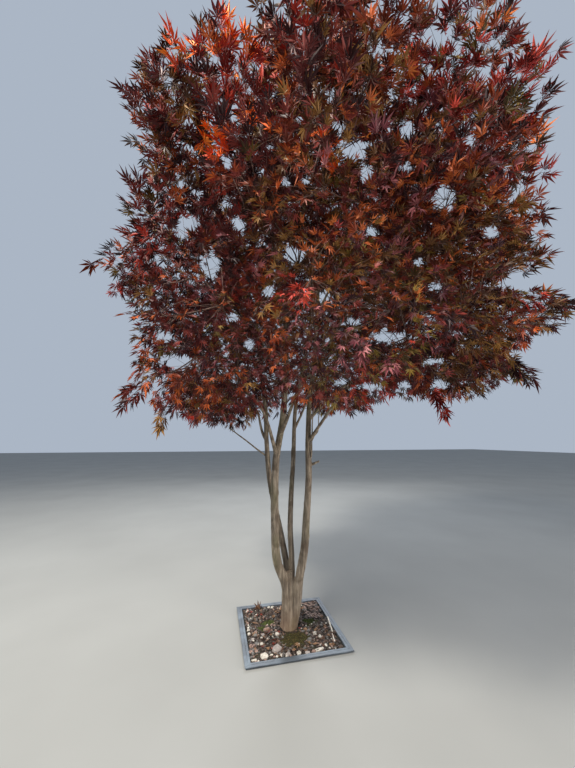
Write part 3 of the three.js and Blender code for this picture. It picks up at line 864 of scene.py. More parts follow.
def straight_tubes(starts, ends, start_radii, end_radii, bends, sides, steps):
    """Many slightly bent tubes at once: points and triangles."""
    ways = unit(ends - starts)
    helper = np.where(np.abs(ways[:, 2:]) < 0.9, UP, np.array([1.0, 0, 0]))
    first = unit(np.cross(ways, helper))
    second = np.cross(ways, first)
    shares = np.linspace(0, 1, steps + 1)
    arch = (4 * shares * (1 - shares))[None, :, None]
    middles = starts[:, None] + (ends - starts)[:, None] * shares[None, :, None] + arch * bends[:, None]
    radii = lerp(start_radii[:, None], end_radii[:, None], shares[None])
    angles = ring_angles(sides)
    ring = (np.cos(angles)[None, :, None] * first[:, None] + np.sin(angles)[None, :, None] * second[:, None])
    points = middles[:, :, None] + radii[:, :, None, None] * ring[:, None]
    faces = ring_faces(steps + 1, sides)
    offsets = np.arange(len(starts)) * (steps + 1) * sides
    triangles = faces[None] + offsets[:, None, None]
    return points.reshape(-1, 3), triangles.reshape(-1, 3)


def joined(parts):
    """Several pairs of points and triangles as one."""
    points = np.vstack([points for points, _ in parts])
    starts = np.cumsum([0] + [len(points) for points, _ in parts[:-1]])
    triangles = np.vstack([triangles + start for (_, triangles), start in zip(parts, starts)])
    return points, triangles


# Materials

def srgb(text):
    """A linear colour from its hexadecimal code."""
    values = [int(text[i:i + 2], 16) / 255 for i in (1, 3, 5)]
    return (*(value / 12.92 if value <= 0.04045 else ((value + 0.055) / 1.055) ** 2.4 for value in values), 1)


def plain_material(name, colour, roughness, gloss=0.5):
    material = bpy.data.materials.new(name)
    material.use_nodes = True
    shader = material.node_tree.nodes["Principled BSDF"]
    shader.inputs["Base Color"].default_value = srgb(colour)
    shader.inputs["Roughness"].default_value = roughness
    shader.inputs["Specular IOR Level"].default_value = gloss
    return material


class Shading:
    """A procedural material with short calls for the nodes that it needs."""

    def __init__(self, name, roughness=0.8, metallic=0.0):
        self.material = bpy.data.materials.new(name)
        self.material.use_nodes = True
        self.tree = self.material.node_tree
        self.shader = self.tree.nodes["Principled BSDF"]
        self.shader.inputs["Roughness"].default_value = roughness
        self.shader.inputs["Metallic"].default_value = metallic
        self.place = self.tree.nodes.new("ShaderNodeTexCoord").outputs["Object"]

    def node(self, kind, **inputs):
        node = self.tree.nodes.new(kind)
        for name, value in inputs.items():
            socket = node.inputs[name.replace("_", " ")]
            if isinstance(value, bpy.types.NodeSocket):
                self.tree.links.new(value, socket)
            else:
                socket.default_value = value
        return node

    def stretched(self, scale):
        return self.node("ShaderNodeMapping", Vector=self.place, Scale=scale).outputs[0]

    def noise(self, scale, detail=4.0, place=None, distortion=0.0):
        return self.node("ShaderNodeTexNoise", Vector=place or self.place, Scale=scale, Detail=detail,
                         Distortion=distortion).outputs["Fac"]

    def ramp(self, value, *stops):
        node = self.node("ShaderNodeValToRGB", Fac=value)
        elements = node.color_ramp.elements
        while len(elements) < len(stops):
            elements.new(0.5)
        for element, (position, colour) in zip(elements, stops):
            element.position = position
            element.color = srgb(colour) if isinstance(colour, str) else (colour, colour, colour, 1)
        return node.outputs["Color"]

    def mix(self, share, first, second, kind="MIX"):
        node = self.tree.nodes.new("ShaderNodeMix")
        node.data_type, node.blend_type = "RGBA", kind
        for socket, value in ((node.inputs[0], share), (node.inputs[6], first), (node.inputs[7], second)):
            if isinstance(value, bpy.types.NodeSocket):
                self.tree.links.new(value, socket)
            else:
                socket.default_value = srgb(value) if isinstance(value, str) else value
        return node.outputs[2]

    def bump(self, height, distance, strength=1.0):
        node = self.node("ShaderNodeBump", Height=height, Distance=distance, Strength=strength)
        self.tree.links.new(node.outputs[0], self.shader.inputs["Normal"])

    def colour(self, value):
        self.tree.links.new(value, self.shader.inputs["Base Color"])

    def roughness(self, value):
        self.tree.links.new(value, self.shader.inputs["Roughness"])


def bark_material():
    look = Shading("bark", roughness=0.86)
    streaks = look.noise(1.0, 6, look.stretched((55, 55, 7)))
    fine = look.noise(1.0, 5, look.stretched((210, 210, 26)))
    patches = look.noise(9.0, 4, distortion=0.6)
    moss = look.noise(5.5, 5, look.stretched((1, 1, 0.55)))
    base = look.ramp(streaks, (0.28, "#544a3f"), (0.44, "#776a5b"), (0.58, "#948674"), (0.76, "#b3a796"))
    dark = look.ramp(patches, (0.50, 0.0), (0.68, 0.75))
    base = look.mix(dark, base, "#5c4d3d")
    green = look.ramp(moss, (0.52, 0.0), (0.70, 0.55))
    base = look.mix(green, base, "#6b6a45")
    lines = look.ramp(fine, (0.34, 0.55), (0.62, 1.0))
    base = look.mix(0.6, base, lines, "MULTIPLY")
    height = look.node("ShaderNodeSeparateXYZ", Vector=look.place).outputs["Z"]
    foot = look.node("ShaderNodeMapRange", Value=height).outputs["Result"]
    ranges = foot.node.inputs
    for name, value in (("From Min", 0.20), ("From Max", 0.03), ("To Min", 0.0), ("To Max", 0.55)):
        ranges[name].default_value = value
    look.colour(look.mix(foot, base, "#6f5340"))
    look.bump(look.mix(0.5, streaks, fine), 0.003, 0.6)
    return look.material


def grained_material(name, roughness, grain, *stops, bump=None):
    """A material whose one noise gives its colours, and its relief where it has any."""
    look = Shading(name, roughness)
    pattern = look.noise(*grain)
    look.colour(look.ramp(pattern, *stops))
    if bump:
        look.bump(pattern, *bump)
    return look.material


def twig_material():
    return grained_material("twig", 0.7, (60.0, 3), (0.35, "#33211c"), (0.55, "#54382c"), (0.75, "#6e5242"))


def floor_material():
    return grained_material("floor", 0.9, (0.8, 3), (0.3, "#888987"), (0.7, "#8f908e"))


def stone_material(name, pale, dark, scale):
    return grained_material(name, 0.7, (scale, 6), (0.3, dark), (0.62, pale), bump=(0.001, 0.5))


def moss_material(name, dark, middle, light):
    stops = (0.3, dark), (0.52, middle), (0.75, light)
    return grained_material(name, 1.0, (120.0, 5), *stops, bump=(0.004, 1.0))


def metal_material():
    look = Shading("metal", roughness=0.5, metallic=0.15)
    clouds = look.noise(7.0, 6, distortion=0.4)
    grain = look.noise(160.0, 3)
    base = look.ramp(clouds, (0.30, "#454b51"), (0.52, "#59616a"), (0.72, "#75808a"))
    look.colour(look.mix(0.25, base, look.ramp(grain, (0.3, 0.5), (0.7, 1.0)), "MULTIPLY"))
    look.roughness(look.ramp(clouds, (0.3, 0.38), (0.7, 0.62)))
    look.bump(grain, 0.0004, 0.4)
    return look.material


def soil_material():
    look = Shading("soil", roughness=0.95)
    lumps = look.noise(48.0, 8)
    stains = look.noise(9.0, 4)
    base = look.ramp(lumps, (0.30, "#0d0a08"), (0.50, "#1e1711"), (0.68, "#352a21"), (0.85, "#4c4034"))
    look.colour(look.mix(look.ramp(stains, (0.45, 0.0), (0.7, 0.5)), base, "#3c3a24"))
    look.bump(lumps, 0.006, 1.0)
    return look.material


# Leaf colours. Each family is dealt to whole sprays, and its leaves take one of its tints.
# Each family's tints run from dark to bright; the bright one is partly a painted pinkish highlight
TINTS = 3
FAMILIES = {
    "maroon": ("#2c0f12", "#4f1b1b", "#7a3029"),
    "brown_olive": ("#3a200d", "#5e3a19", "#86602f"),
    "rust": ("#531b0b", "#7b3011", "#a85222"),
    "brick": ("#6e2a0e", "#9a431a", "#c46a30"),
    "olive": ("#3a2c0e", "#5a471b", "#80692c"),
    "purple": ("#3a161f", "#632c34", "#97585b"),
    "crimson": ("#5e100d", "#881f17", "#b03a2a"),
    # The orange tints are partly the leaves' autumn colour and partly painted sunlight shining through them
    "orange": ("#cc4310", "#ee6718", "#fb8f35"),
}
# The families' shares where no zone gives its own, in their order
COMMON_SHARES = (0.36, 0.24, 0.21, 0.05, 0.03, 0.08, 0.03, 0.0)
# Where autumn colour gathers, some of it painted light: its middle and reach in millimetres, its family and
# its share there
TINT_ZONES = [
    # The orange zones paint sunlight glowing through the upper leaves, most of them at the left
    ((-690, -1200, 3960), 290, "orange", 0.6), ((-700, -1150, 3250), 260, "orange", 0.9),
    ((-585, -1200, 3350), 240, "orange", 0.85), ((-1000, -1200, 3750), 200, "orange", 0.6),
    ((-122, -1350, 3200), 150, "orange", 0.6), ((-1066, -1000, 2850), 130, "crimson", 0.6),
    # The two crimson zones on the next line, high at the left and right, are partly red leaves and partly
    # painted sunlight shining through them
    ((-560, -1200, 3600), 330, "crimson", 0.7), ((1050, -1300, 3950), 950, "crimson", 0.5),
    ((1000, -1350, 3780), 260, "brick", 0.7), ((1400, -1000, 3000), 850, "brick", 0.4),
    ((-850, -1000, 3200), 750, "maroon", 0.75), ((-900, -1000, 2400), 600, "maroon", 0.4),
    ((-380, -1450, 1790), 420, "purple", 0.65), ((56, -1400, 1860), 260, "olive", 0.5),
    ((156, -1250, 1690), 300, "crimson", 0.5), ((860, -970, 1710), 260, "crimson", 0.95),
    ((730, -1350, 2350), 500, "brown_olive", 0.4), ((290, -1300, 4000), 700, "rust", 0.35),
]
FAMILY_KEPT = 0.55
LEAF_ROUGHNESS = 0.55
LEAF_GLOSS = 0.28
PETIOLE_COLOUR = "#6b2f28"
PETIOLE_ROUGHNESS = 0.6


def leaf_materials():
    blades = [plain_material(f"leaf_{family}_{i}", tint, LEAF_ROUGHNESS, LEAF_GLOSS)
              for family, tints in FAMILIES.items() for i, tint in enumerate(tints, 1)]
    return [*blades, plain_material("petiole", PETIOLE_COLOUR, PETIOLE_ROUGHNESS)]


def family_of(place, rng):
    names = list(FAMILIES)
    for middle, reach, family, share in TINT_ZONES:
        nearness = max(0.0, 1 - lengths(place - np.array(middle)) / reach)
        if rng.random() < share * min(1.0, 2 * nearness):
            return names.index(family)
    return int(rng.choice(len(names), p=COMMON_SHARES))


def mixed_family(place, parent, rng):
    """A twig's leaves mostly keep the colour of the twig that it grows from."""
    if parent != LEAFLESS and rng.random() < FAMILY_KEPT:
        return parent
    return family_of(place, rng)


# Leaves

def leaf_shape(variant):
    """One leaf of seven pointed lobes, each a kite folded along its rib: across, ahead, face."""
    rng = np.random.default_rng(LEAF_SEED + variant)
    cup, curl, sweep = rng.uniform(*LEAF_CUP), rng.uniform(*LEAF_CURL), rng.uniform(*LEAF_SWEEP)
    half = math.radians(LOBE_HALF_ANGLE * sweep)
    points = [[0.0, 0.0, 0.0]]
    triangles = []
    for turn, reach in LEAF_LOBES:
        angle = math.radians(turn * sweep + rng.normal(0, LOBE_LOOSENESS))
        reach *= rng.uniform(*LOBE_GROWTH)
        widest = reach * LOBE_WIDEST
        first = len(points)
        for aside, out, lift in ((-half, widest, LOBE_FOLD), (0, reach, 0), (half, widest, LOBE_FOLD)):
            points.append([out * math.sin(angle + aside), out * math.cos(angle + aside), lift])
        triangles += [(0, first + 1, first), (0, first + 2, first + 1)]
    points = np.array(points)
    points[:, 2] += cup * np.abs(points[:, 0]) - curl * points[:, 1] * np.abs(points[:, 1])
    return points, np.array(triangles)


LEAF_SHAPES = [leaf_shape(variant) for variant in range(LEAF_VARIANTS)]


def leaf_meshes(mass, nodes, starts, bases, petioles, sizes, tints, rng):
    """Blades and petioles of many leaves as points, triangles and material indices, and their twig nodes."""
    count = len(bases)
    outward = unit(unsquash(bases - mass.middle))
    rise = np.interp(bases[:, 2], *LEAF_RISE) + rng.normal(0, RISE_LOOSENESS, count)
    ahead = petioles + LEAF_OUTWARD * outward + rise[:, None] * UP
    ahead = unit(ahead + rng.normal(0, LEAF_LOOSENESS, (count, 3)))
    face = UP + FACE_OUTWARD * outward + rng.normal(0, FACE_LOOSENESS, (count, 3))
    face = unit(face - np.sum(face * ahead, axis=1)[:, None] * ahead)
    across = np.cross(ahead, face)
    variants = rng.integers(0, LEAF_VARIANTS, count)
    shapes = np.array([points for points, _ in LEAF_SHAPES])[variants] * sizes[:, None, None]
    blades = (bases[:, None] + shapes[..., :1] * across[:, None] + shapes[..., 1:2] * ahead[:, None]
              + shapes[..., 2:] * face[:, None])
    kept = leaves_kept(bases, blades, mass, rng)
    starts, bases, tints, across, blades = (part[kept] for part in (starts, bases, tints, across, blades))
    half = across * PETIOLE_WIDTH / 2
    stalks = np.stack([starts - half, starts + half, bases + half, bases - half], axis=1)
    points = np.concatenate([blades, stalks], axis=1)
    own = np.vstack([LEAF_SHAPES[0][1], np.array([(0, 1, 2), (0, 2, 3)]) + blades.shape[1]])
    triangles = own[None] + (np.arange(len(bases)) * points.shape[1])[:, None, None]
    indices = np.repeat(tints[:, None], len(own), axis=1)
    indices[:, -2:] = TINTS * len(FAMILIES)
    return points.reshape(-1, 3), triangles.reshape(-1, 3), indices.ravel(), nodes[kept]


def leaves_kept(bases, blades, mass, rng):
    """Leaves that keep clear of limbs, of the gaps where sky shows and of the end of the model's reach."""
    low, high = (np.array(corner) / MM for corner in cad_box)
    kept = clear_of_limbs(bases, mass.limbs, LEAF_LIMB_GAP)
    kept &= rng.random(len(bases)) < np.interp(bases[:, 2], *LEAVES_LEFT)
    kept &= np.all((blades.min(axis=1) > low - BOX_MARGIN) & (blades.max(axis=1) < high + BOX_MARGIN), axis=1)
    return kept & out_of_gaps(*in_photo(blades.mean(axis=1)), rng)


def twig_tubes(tree, leafy, rng):
    """Twigs as bent tubes, the thicker ones rounder. Fine ones that carry no leaves are left out."""
    kept = np.arange(tree.count) < tree.fine_from
    kept[leafy] = True
    for i in range(tree.count - 1, 0, -1):
        kept[tree.parents[i]] |= kept[i]
    edges = np.flatnonzero(kept[1:]) + 1
    origin = tree.parents[edges]
    starts, ends = tree.points[origin], tree.points[edges]
    bends = rng.normal(0, TWIG_BEND, (len(edges), 3)) * lengths(ends - starts)[:, None]
    end_radii = tree.radii[edges]
    start_radii = np.minimum(end_radii * TWIG_FOOT_GROWTH, tree.radii[origin])
    start_radii = np.where(origin == 0, tree.radii[0], start_radii)
    tubes = (starts, ends, start_radii, end_radii, bends)
    thick = end_radii > THICK_TWIG
    return joined([straight_tubes(*(values[chosen] for values in tubes), *tube)
                   for chosen, tube in ((thick, THICK_TUBE), (~thick, THIN_TUBE)) if np.any(chosen)])


def foliage(mass, number, materials):
    """The twigs and leaves of one mass, as two joined pieces that stand for its node."""
    tree, rng = grow_tree(mass, number)
    points, triangles, indices, leafy = leaf_meshes(mass, *leaves_on(tree, rng), rng)
    blades = mesh_object(f"leaves_{mass.name}", points, triangles, materials["leaves"], indices)
    wood = mesh_object(f"twigs_{mass.name}", *twig_tubes(tree, leafy, rng), [materials["twig"]], smooth=True)
    for piece in (blades, wood):
        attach(piece, "root")
        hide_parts(f"foliage_{mass.name}")


# Bark

BARK_VOXEL = 4.6
BARK_SMOOTHING = 5
BARK_TOP = 1800
BARK_OVERLAP = 30
AXIS_SAMPLES = 160
TRUNK_SIDES = 28
TRUNK_STEP = 20
LIMB_SIDES = 14
LIMB_STEP = 22
SNAG_STEP = 8
COLLAR_SWELL = 0.45
COLLAR_REACH = 45
BOUGH_RELIEF = 1.6
RING_START = np.array([0.3, 1.0, 0.1])

# For the relief of boughs and sticks, as noise_vector takes its seed from the clock if none is set
RELIEF_SEED = 75

# The lower bark's relief in metres: how far its ridges, streaks and knots stand out, and how close they lie
RIDGE_HEIGHT, RIDGES_AROUND, RIDGES_ALONG = 0.0034, 1.6, 2.2
STREAK_HEIGHT, STREAKS_AROUND, STREAKS_ALONG = 0.0014, 130, 13
KNOT_HEIGHT, KNOTS, KNOTS_LEFT_OUT = 0.012, 16, 0.32
FULL_RELIEF_RADIUS = 0.03
LEAST_RADIUS = 0.01
FLUTE_HEIGHT, FLUTE_DEPTH, FLUTE_TURN = 0.16, 0.005, 0.8


def swept_limb(curve, radius_at, start, end, sides, step):
    """A closed tube along part of a curve, with rings that don't twist."""
    count = max(2, math.ceil((end - start) * curve.length / step))
    shares = np.linspace(start, end, count + 1)
    middles = curve.at(shares)
    radii = radius_at(shares)
    ways = unit(np.gradient(middles, axis=0))
    first = unit(np.cross(ways[0], RING_START))
    rings = []
    angles = ring_angles(sides)
    for middle, way, radius in zip(middles, ways, radii):
        first = unit(first - np.dot(first, way) * way)
        second = np.cross(way, first)
        rings.append(middle + radius * (np.cos(angles)[:, None] * first + np.sin(angles)[:, None] * second))
    return np.vstack(rings), ring_faces(count + 1, sides)


def tapering(radius, taper):
    return lambda along: radius * (1 - taper * along)


def bole_limb():
    foot, top = np.array([0, 0, BELOW_GROUND]), np.array([*BOLE_LEAN, BOLE_TOP])

    def radius_at(along):
        height = BELOW_GROUND + along * (BOLE_TOP - BELOW_GROUND)
        flare = np.maximum(0, 1 - height / FLARE_HEIGHT)
        return BOLE_RADIUS * (1 - BOLE_TAPER * along**4) + (FLARE_RADIUS - BOLE_RADIUS) * flare**2

    return swept_limb(straight_curve(foot, top - foot), radius_at, 0, 1, TRUNK_SIDES, TRUNK_STEP)


def snag_limb(stems):
    stem = stems[SNAG.stem]
    share = share_at_height(stem.curve, SNAG.at)
    start = stem.curve.at(share)
    angle = math.radians(SNAG.compass)
    way = unit(np.array([math.cos(angle), math.sin(angle), SNAG.rise]))
    reach = float(stem.radius_at(share)) + SNAG.length
    curve = straight_curve(start, way * reach)
    return swept_limb(curve, tapering(SNAG.radius, SNAG.taper), 0, 1, LIMB_SIDES, SNAG_STEP)


def relief(point, around, radius):
    """How far the bark stands out at a point of a limb: muscle-like ridges, streaks and small knots."""
    x, y, z = point
    right, back, shift = around
    ridges = noise.noise(Vector((right * RIDGES_AROUND, back * RIDGES_AROUND, z * RIDGES_ALONG + shift)))
    streaks = noise.noise(Vector((x * STREAKS_AROUND, y * STREAKS_AROUND, z * STREAKS_ALONG)))
    knots = noise.noise(Vector((x * KNOTS, y * KNOTS, z * KNOTS))) - KNOTS_LEFT_OUT
    share = min(1.0, radius / FULL_RELIEF_RADIUS)
    return share * (RIDGE_HEIGHT * ridges + STREAK_HEIGHT * streaks + KNOT_HEIGHT * max(0.0, knots))


def fused(points, triangles):
    """A mesh with one smooth skin around closed shapes that cross."""
    rough = mesh_object("bark_rough", points, triangles, [])
    fuse = rough.modifiers.new("fuse", "REMESH")
    fuse.mode, fuse.voxel_size = "VOXEL", BARK_VOXEL * MM
    smooth = rough.modifiers.new("smooth", "SMOOTH")
    smooth.factor, smooth.iterations = 0.5, BARK_SMOOTHING
    bpy.context.view_layer.update()
    evaluated = rough.evaluated_get(bpy.context.evaluated_depsgraph_get())
    mesh = bpy.data.meshes.new_from_object(evaluated)
    bpy.data.objects.remove(rough)
    return mesh


def carve(shape, axes):
    """The bark's relief, and flutes in the flare, on the skin around limbs' middles and radii."""
    tree = KDTree(len(axes))
    for i, (x, y, z, _) in enumerate(axes):
        tree.insert((x, y, z), i)
    tree.balance()
    for vertex in shape.verts:
        centre, index, _ = tree.find(vertex.co)
        radius = axes[index][3]
        stem_shift = Vector((0, 0, index // AXIS_SAMPLES * 7))
        around = (vertex.co - centre) / max(radius, LEAST_RADIUS) + stem_shift
        vertex.co += vertex.normal * relief(vertex.co, around, radius)
        flare = max(0.0, 1 - vertex.co.z / FLUTE_HEIGHT)
        if flare > 0:
            angle = math.atan2(vertex.co.y, vertex.co.x)
            flute = math.sin(5 * angle + FLUTE_TURN) + 0.5 * math.sin(3 * angle)
            vertex.co += Vector((vertex.co.x, vertex.co.y, 0)).normalized() * (FLUTE_DEPTH * flare * flute)


def bark_lower(stems, material):
    """Bole, lower stems and snag as one skin with the bark's relief."""
    parts, axes = [bole_limb(), snag_limb(stems)], []
    for stem in stems.values():
        top = share_at_height(stem.curve, BARK_TOP)
        parts.append(swept_limb(stem.curve, stem.radius_at, 0, top, TRUNK_SIDES, TRUNK_STEP))
        shares = np.linspace(0, top, AXIS_SAMPLES)
        axes.append(np.column_stack([stem.curve.at(shares), stem.radius_at(shares)]))
    mesh = fused(*joined(parts))
    shape = bmesh.new()
    shape.from_mesh(mesh)
    shape.normal_update()
    carve(shape, np.vstack(axes) * MM)
    geometry = shape.verts[:] + shape.edges[:] + shape.faces[:]
    bmesh.ops.bisect_plane(shape, geom=geometry, plane_co=(0, 0, 0), plane_no=(0, 0, 1), clear_inner=True)
    bmesh.ops.holes_fill(shape, edges=[edge for edge in shape.edges if edge.is_boundary])
    for face in shape.faces:
        face.smooth = True
    shape.to_mesh(mesh)
    shape.free()
    mesh.materials.append(material)
    piece = bpy.data.objects.new("bark_trunk_and_stems", mesh)
    bpy.context.scene.collection.objects.link(piece)
    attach(piece, "root")
    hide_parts("trunk", *(f"stem_{name}" for name in stems))


# Thin side shoots below the crown: their ways from inside a stem, and their thickness at foot and tip
SIDE_SHOOTS = [
    ([(180, -52, 1330), (191, -72, 1385), (196, -76, 1520), (206, -80, 1720), (222, -110, 2020)], 6.5, 4.0),
    ([(195, -76, 1505), (222, -74, 1555), (254, -70, 1592), (266, -72, 1720), (300, -110, 2000)], 5.0, 3.5),
    ([(-150, 214, 1335), (-174, 204, 1368), (-251, 190, 1424), (-348, 170, 1498), (-529, 130, 1625)],
     8.5, 5.0),
]


def side_shoot(way, foot, tip):
    return swept_limb(centripetal_curve(way), lambda along: lerp(foot, tip, along), 0, 1, 8, 14)


def with_collar(bough):
    """A bough's radius along it, swollen where it leaves its stem."""
    return lambda along: bough.radius_at(along) * (
        1 + COLLAR_SWELL * np.exp(-along * bough.curve.length / COLLAR_REACH))


def bark_upper(stems, masses, material):
    """The stems inside the crown and the boughs, each with a collar where it leaves its stem."""
    parts = []
    for stem in stems.values():
        start = share_at_height(stem.curve, BARK_TOP - BARK_OVERLAP)
        parts.append(swept_limb(stem.curve, stem.radius_at, start, 1, LIMB_SIDES, LIMB_STEP))
    for mass in masses:
        if mass.bough:
            parts.append(swept_limb(mass.bough.curve, with_collar(mass.bough), 0, 1, LIMB_SIDES, LIMB_STEP))
    points, triangles = joined(parts + [side_shoot(*shoot) for shoot in SIDE_SHOOTS])
    for i, (x, y, z) in enumerate(points * MM):
        points[i] += np.array(noise.noise_vector(Vector((x * 30, y * 30, z * 12)))) * BOUGH_RELIEF
    piece = mesh_object("bark_boughs", points, triangles, [material], smooth=True)
    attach(piece, "root")
    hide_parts(*(f"bough_{mass.name}" for mass in masses if mass.bough))


# Planting bed

FOLD_RADIUS = 2.2
FOLD_STEPS = 4
GROOVE_PLACE = 0.55
GROOVE = ((-3, 0), (-1, 1.6), (1, 1.6), (3, 0))
MITRE_GAP = 0.5
SIDE_RINGS = 25
SOIL_GRID = 150
SOIL_GAP = 0.4
LUMPS, LUMP_HEIGHT = 0.02, 1.8
CRUMBS, CRUMB_HEIGHT = 2.4, 2.6
SOIL_SUNK = 1.5
LOWEST = 1

# Loose things in the bed: their numbers, their half sizes in millimetres or in shares of a size, how far
# they are sunk, and the share of each kind
PEBBLE_SEED, CHIP_SEED, LITTER_SEED, MOSS_SEED = 71, 72, 73, 74
SPOT_TRIES = 30
MOSS_CLEAR = 1.5
PEBBLES = 900
PEBBLE_SIZE, PEBBLE_SPREAD = 7.5, 0.38
PEBBLE_SHAPE = ((0.85, 1.35), (0.75, 1.1), (0.45, 0.75))
PEBBLE_SUNK = (0.15, 0.6)
PEBBLE_LUMPS, STONE_LUMPS = 0.3, 0.2
PEBBLE_KINDS = (0.04, 0.12, 0.28, 0.56)
EDGE_PEBBLE_KINDS = (0.15, 0.15, 0.28, 0.42)
EDGE_PEBBLES_FROM, EDGE_PEBBLES_TO = 290, 250
BLOCKY, STONE_TILT, STONE_SUNK = 0.6, 0.12, 0.4
CHIPS = 420
CHIP_SHAPE = ((7, 20), (3, 8), (1.2, 2.6))
CHIP_UNEVEN = (0.7, 1.15)
CHIP_ROLL, CHIP_TIP, CHIP_LIFT = 0.35, 0.3, (1, 7)
TAN_CHIPS = 0.3
STRAWS = 90
STRAW_SHAPE = ((12, 34), (0.8, 2.2), (0.6, 1.4))
STRAW_CORNER = ((190, 335), (90, 330))
STRAW_TURN, STRAW_TIP, STRAW_LIFT = (-35, 30), 0.12, (5, 11)
LITTER = 70
LITTER_SIZE = (24, 46)
LITTER_ROLL, LITTER_TIP, LITTER_LIFT = 0.4, 0.35, (7, 12)
LEAF_MIDDLE = (0, 0.4, 0)
LITTER_KINDS = (0.5, 0.38, 0.12)
TUFT_SIDES = 5
TUFT_SHARE = 0.3
TUFT_REACH = (0.45, 1.25)
TUFT_WIDTH, TUFT_HEIGHT, TUFT_LEAN, TUFT_SUNK = (2.2, 4.6), (3, 7), 1.2, 1.5
BROWN_TUFTS = 0.85
BARE_BY_TRUNK, MOSS_END = 62, 335
STICK_TAPER, STICK_RELIEF = 0.25, 1.2


def turned(z, x=0.0, y=0.0):
    """The matrix of a turn about Y, then X, then Z."""
    return np.array(Matrix.Rotation(z, 3, "Z") @ Matrix.Rotation(x, 3, "X") @ Matrix.Rotation(y, 3, "Y"))


def level_turn(angle):
    """The matrix of a turn about Z alone, in full precision."""
    cos, sin = math.cos(angle), math.sin(angle)
    return np.array([[cos, -sin, 0], [sin, cos, 0], [0, 0, 1]])


def frame_profile():
    """The frame's section, as distance in from its outer edge and height."""
    folds = []
    for middle, start in ((FOLD_RADIUS, 180), (FLANGE_WIDTH - FOLD_RADIUS, 90)):
        for step in range(FOLD_STEPS):
            angle = math.radians(start - 90 / (FOLD_STEPS - 1) * step)
            folds.append((middle + FOLD_RADIUS * math.cos(angle),
                          FRAME_HEIGHT - FOLD_RADIUS + FOLD_RADIUS * math.sin(angle)))
    underside = FRAME_HEIGHT - FLANGE_THICKNESS
    groove = [(GROOVE_PLACE * FLANGE_WIDTH + across, FRAME_HEIGHT - deep) for across, deep in GROOVE]
    return [(FRAME_UNDERCUT, 0), (FRAME_UNDERCUT, underside), (0, underside), *folds[:FOLD_STEPS], *groove,
            *folds[FOLD_STEPS:], (FLANGE_WIDTH, 0)]


def metal_frame(material):
    """Four lengths of folded sheet that meet in mitres."""
    profile = frame_profile()
    half = FRAME_SIDE / 2
    side = np.array([(share * (half - inward - MITRE_GAP), inward - half, height)
                     for share in np.linspace(-1, 1, SIDE_RINGS) for inward, height in profile])
    faces = ring_faces(SIDE_RINGS, len(profile))
    parts = [(side @ level_turn(math.radians(90 * quarter)).T, faces) for quarter in range(4)]
    piece = mesh_object("bed_frame_sides", *joined(parts), [material])
    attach(piece, "root")
    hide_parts("bed_frame")


def fill_height(x, y):
    away = np.hypot(x, y) / FILL_MOUND_SPREAD
    return FILL_EDGE_HEIGHT + FILL_MOUND_HEIGHT * np.exp(-away * away)


# Moss in the bed: middle and half widths, how far it rises and whether it is the browner kind
MOSS_PATCHES = [
    ((12, -168), (150, 100), 13, True), ((182, 40), (78, 52), 6, False), ((-150, 100), (62, 42), 4, False),
    ((-215, 30), (45, 34), 3, False), ((40, 105), (60, 40), 4, False),
]


def moss_share(patch, x, y):
    """How far inside a patch of moss places are: one in its middle, none at its edge."""
    (middle_x, middle_y), (wide, long), _, _ = patch
    return np.maximum(0, 1 - ((x - middle_x) / wide) ** 2 - ((y - middle_y) / long) ** 2)


def bed_height(x, y):
    return fill_height(x, y) + sum(patch[2] * moss_share(patch, x, y) for patch in MOSS_PATCHES)


def soil_bed(material):
    """Soil with a crumbled surface, closed below, with its skirt down to the ground."""
    half = FRAME_SIDE / 2 - FLANGE_WIDTH - SOIL_GAP
    line = np.linspace(-half, half, SOIL_GRID + 1)
    xs, ys = np.meshgrid(line, line, indexing="ij")
    top = np.stack([xs, ys, bed_height(xs, ys)], axis=-1).reshape(-1, 3)
    for point in top:
        place = Vector((point[0] * LUMPS, point[1] * LUMPS, 0))
        crumbs = noise.fractal(place * CRUMBS, 0.8, 2.0, 4)
        point[2] += LUMP_HEIGHT * noise.noise(place) + CRUMB_HEIGHT * crumbs - SOIL_SUNK
    size = SOIL_GRID + 1
    triangles = []
    for i in range(SOIL_GRID):
        for j in range(SOIL_GRID):
            a, b = i * size + j, (i + 1) * size + j
            triangles += [(a, b, b + 1), (a, b + 1, a + 1)]
    rim = ([i * size for i in range(size)] + [SOIL_GRID * size + j for j in range(1, size)]
           + [i * size + SOIL_GRID for i in range(SOIL_GRID - 1, -1, -1)] + list(range(SOIL_GRID - 1, 0, -1)))
    low = top[rim] * np.array([1, 1, 0])
    first = len(top)
    middle = first + len(rim)
    for k, corner in enumerate(rim):
        after = (k + 1) % len(rim)
        triangles += [(corner, first + k, first + after), (corner, first + after, rim[after])]
    triangles += [(middle, first + (k + 1) % len(rim), first + k) for k in range(len(rim))]
    points = np.vstack([top, low, [[0, 0, 0]]])
    piece = mesh_object("soil", points, triangles, [material], smooth=True)
    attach(piece, "root")
    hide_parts("bed_fill")


def unit_ball():
    shape = bmesh.new()
    bmesh.ops.create_icosphere(shape, subdivisions=2, radius=1)
    points = np.array([vertex.co[:] for vertex in shape.verts])
    triangles = np.array([[vertex.index for vertex in face.verts] for face in shape.faces])
    shape.free()
    return points, triangles


def lumpy(ball, spot, amount):
    bumps = [noise.noise(Vector(point) * 1.6 + Vector((*spot, 0))) for point in ball]
    return ball * (1 + amount * np.array(bumps))[:, None]


class LooseThings:
    """Many small shapes in the bed, each of one material, that become one piece."""

    def __init__(self):
        self.parts, self.indices = [], []

    def add(self, points, triangles, kind=0):
        self.parts.append((points, triangles))
        self.indices += [kind] * len(triangles)

    def settle(self, name, materials, smooth=False):
        """The piece, with nothing below the ground."""
        points, triangles = joined(self.parts)
        points[:, 2] = np.maximum(points[:, 2], LOWEST)
        piece = mesh_object(name, points, triangles, materials, self.indices, smooth)
        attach(piece, "root")


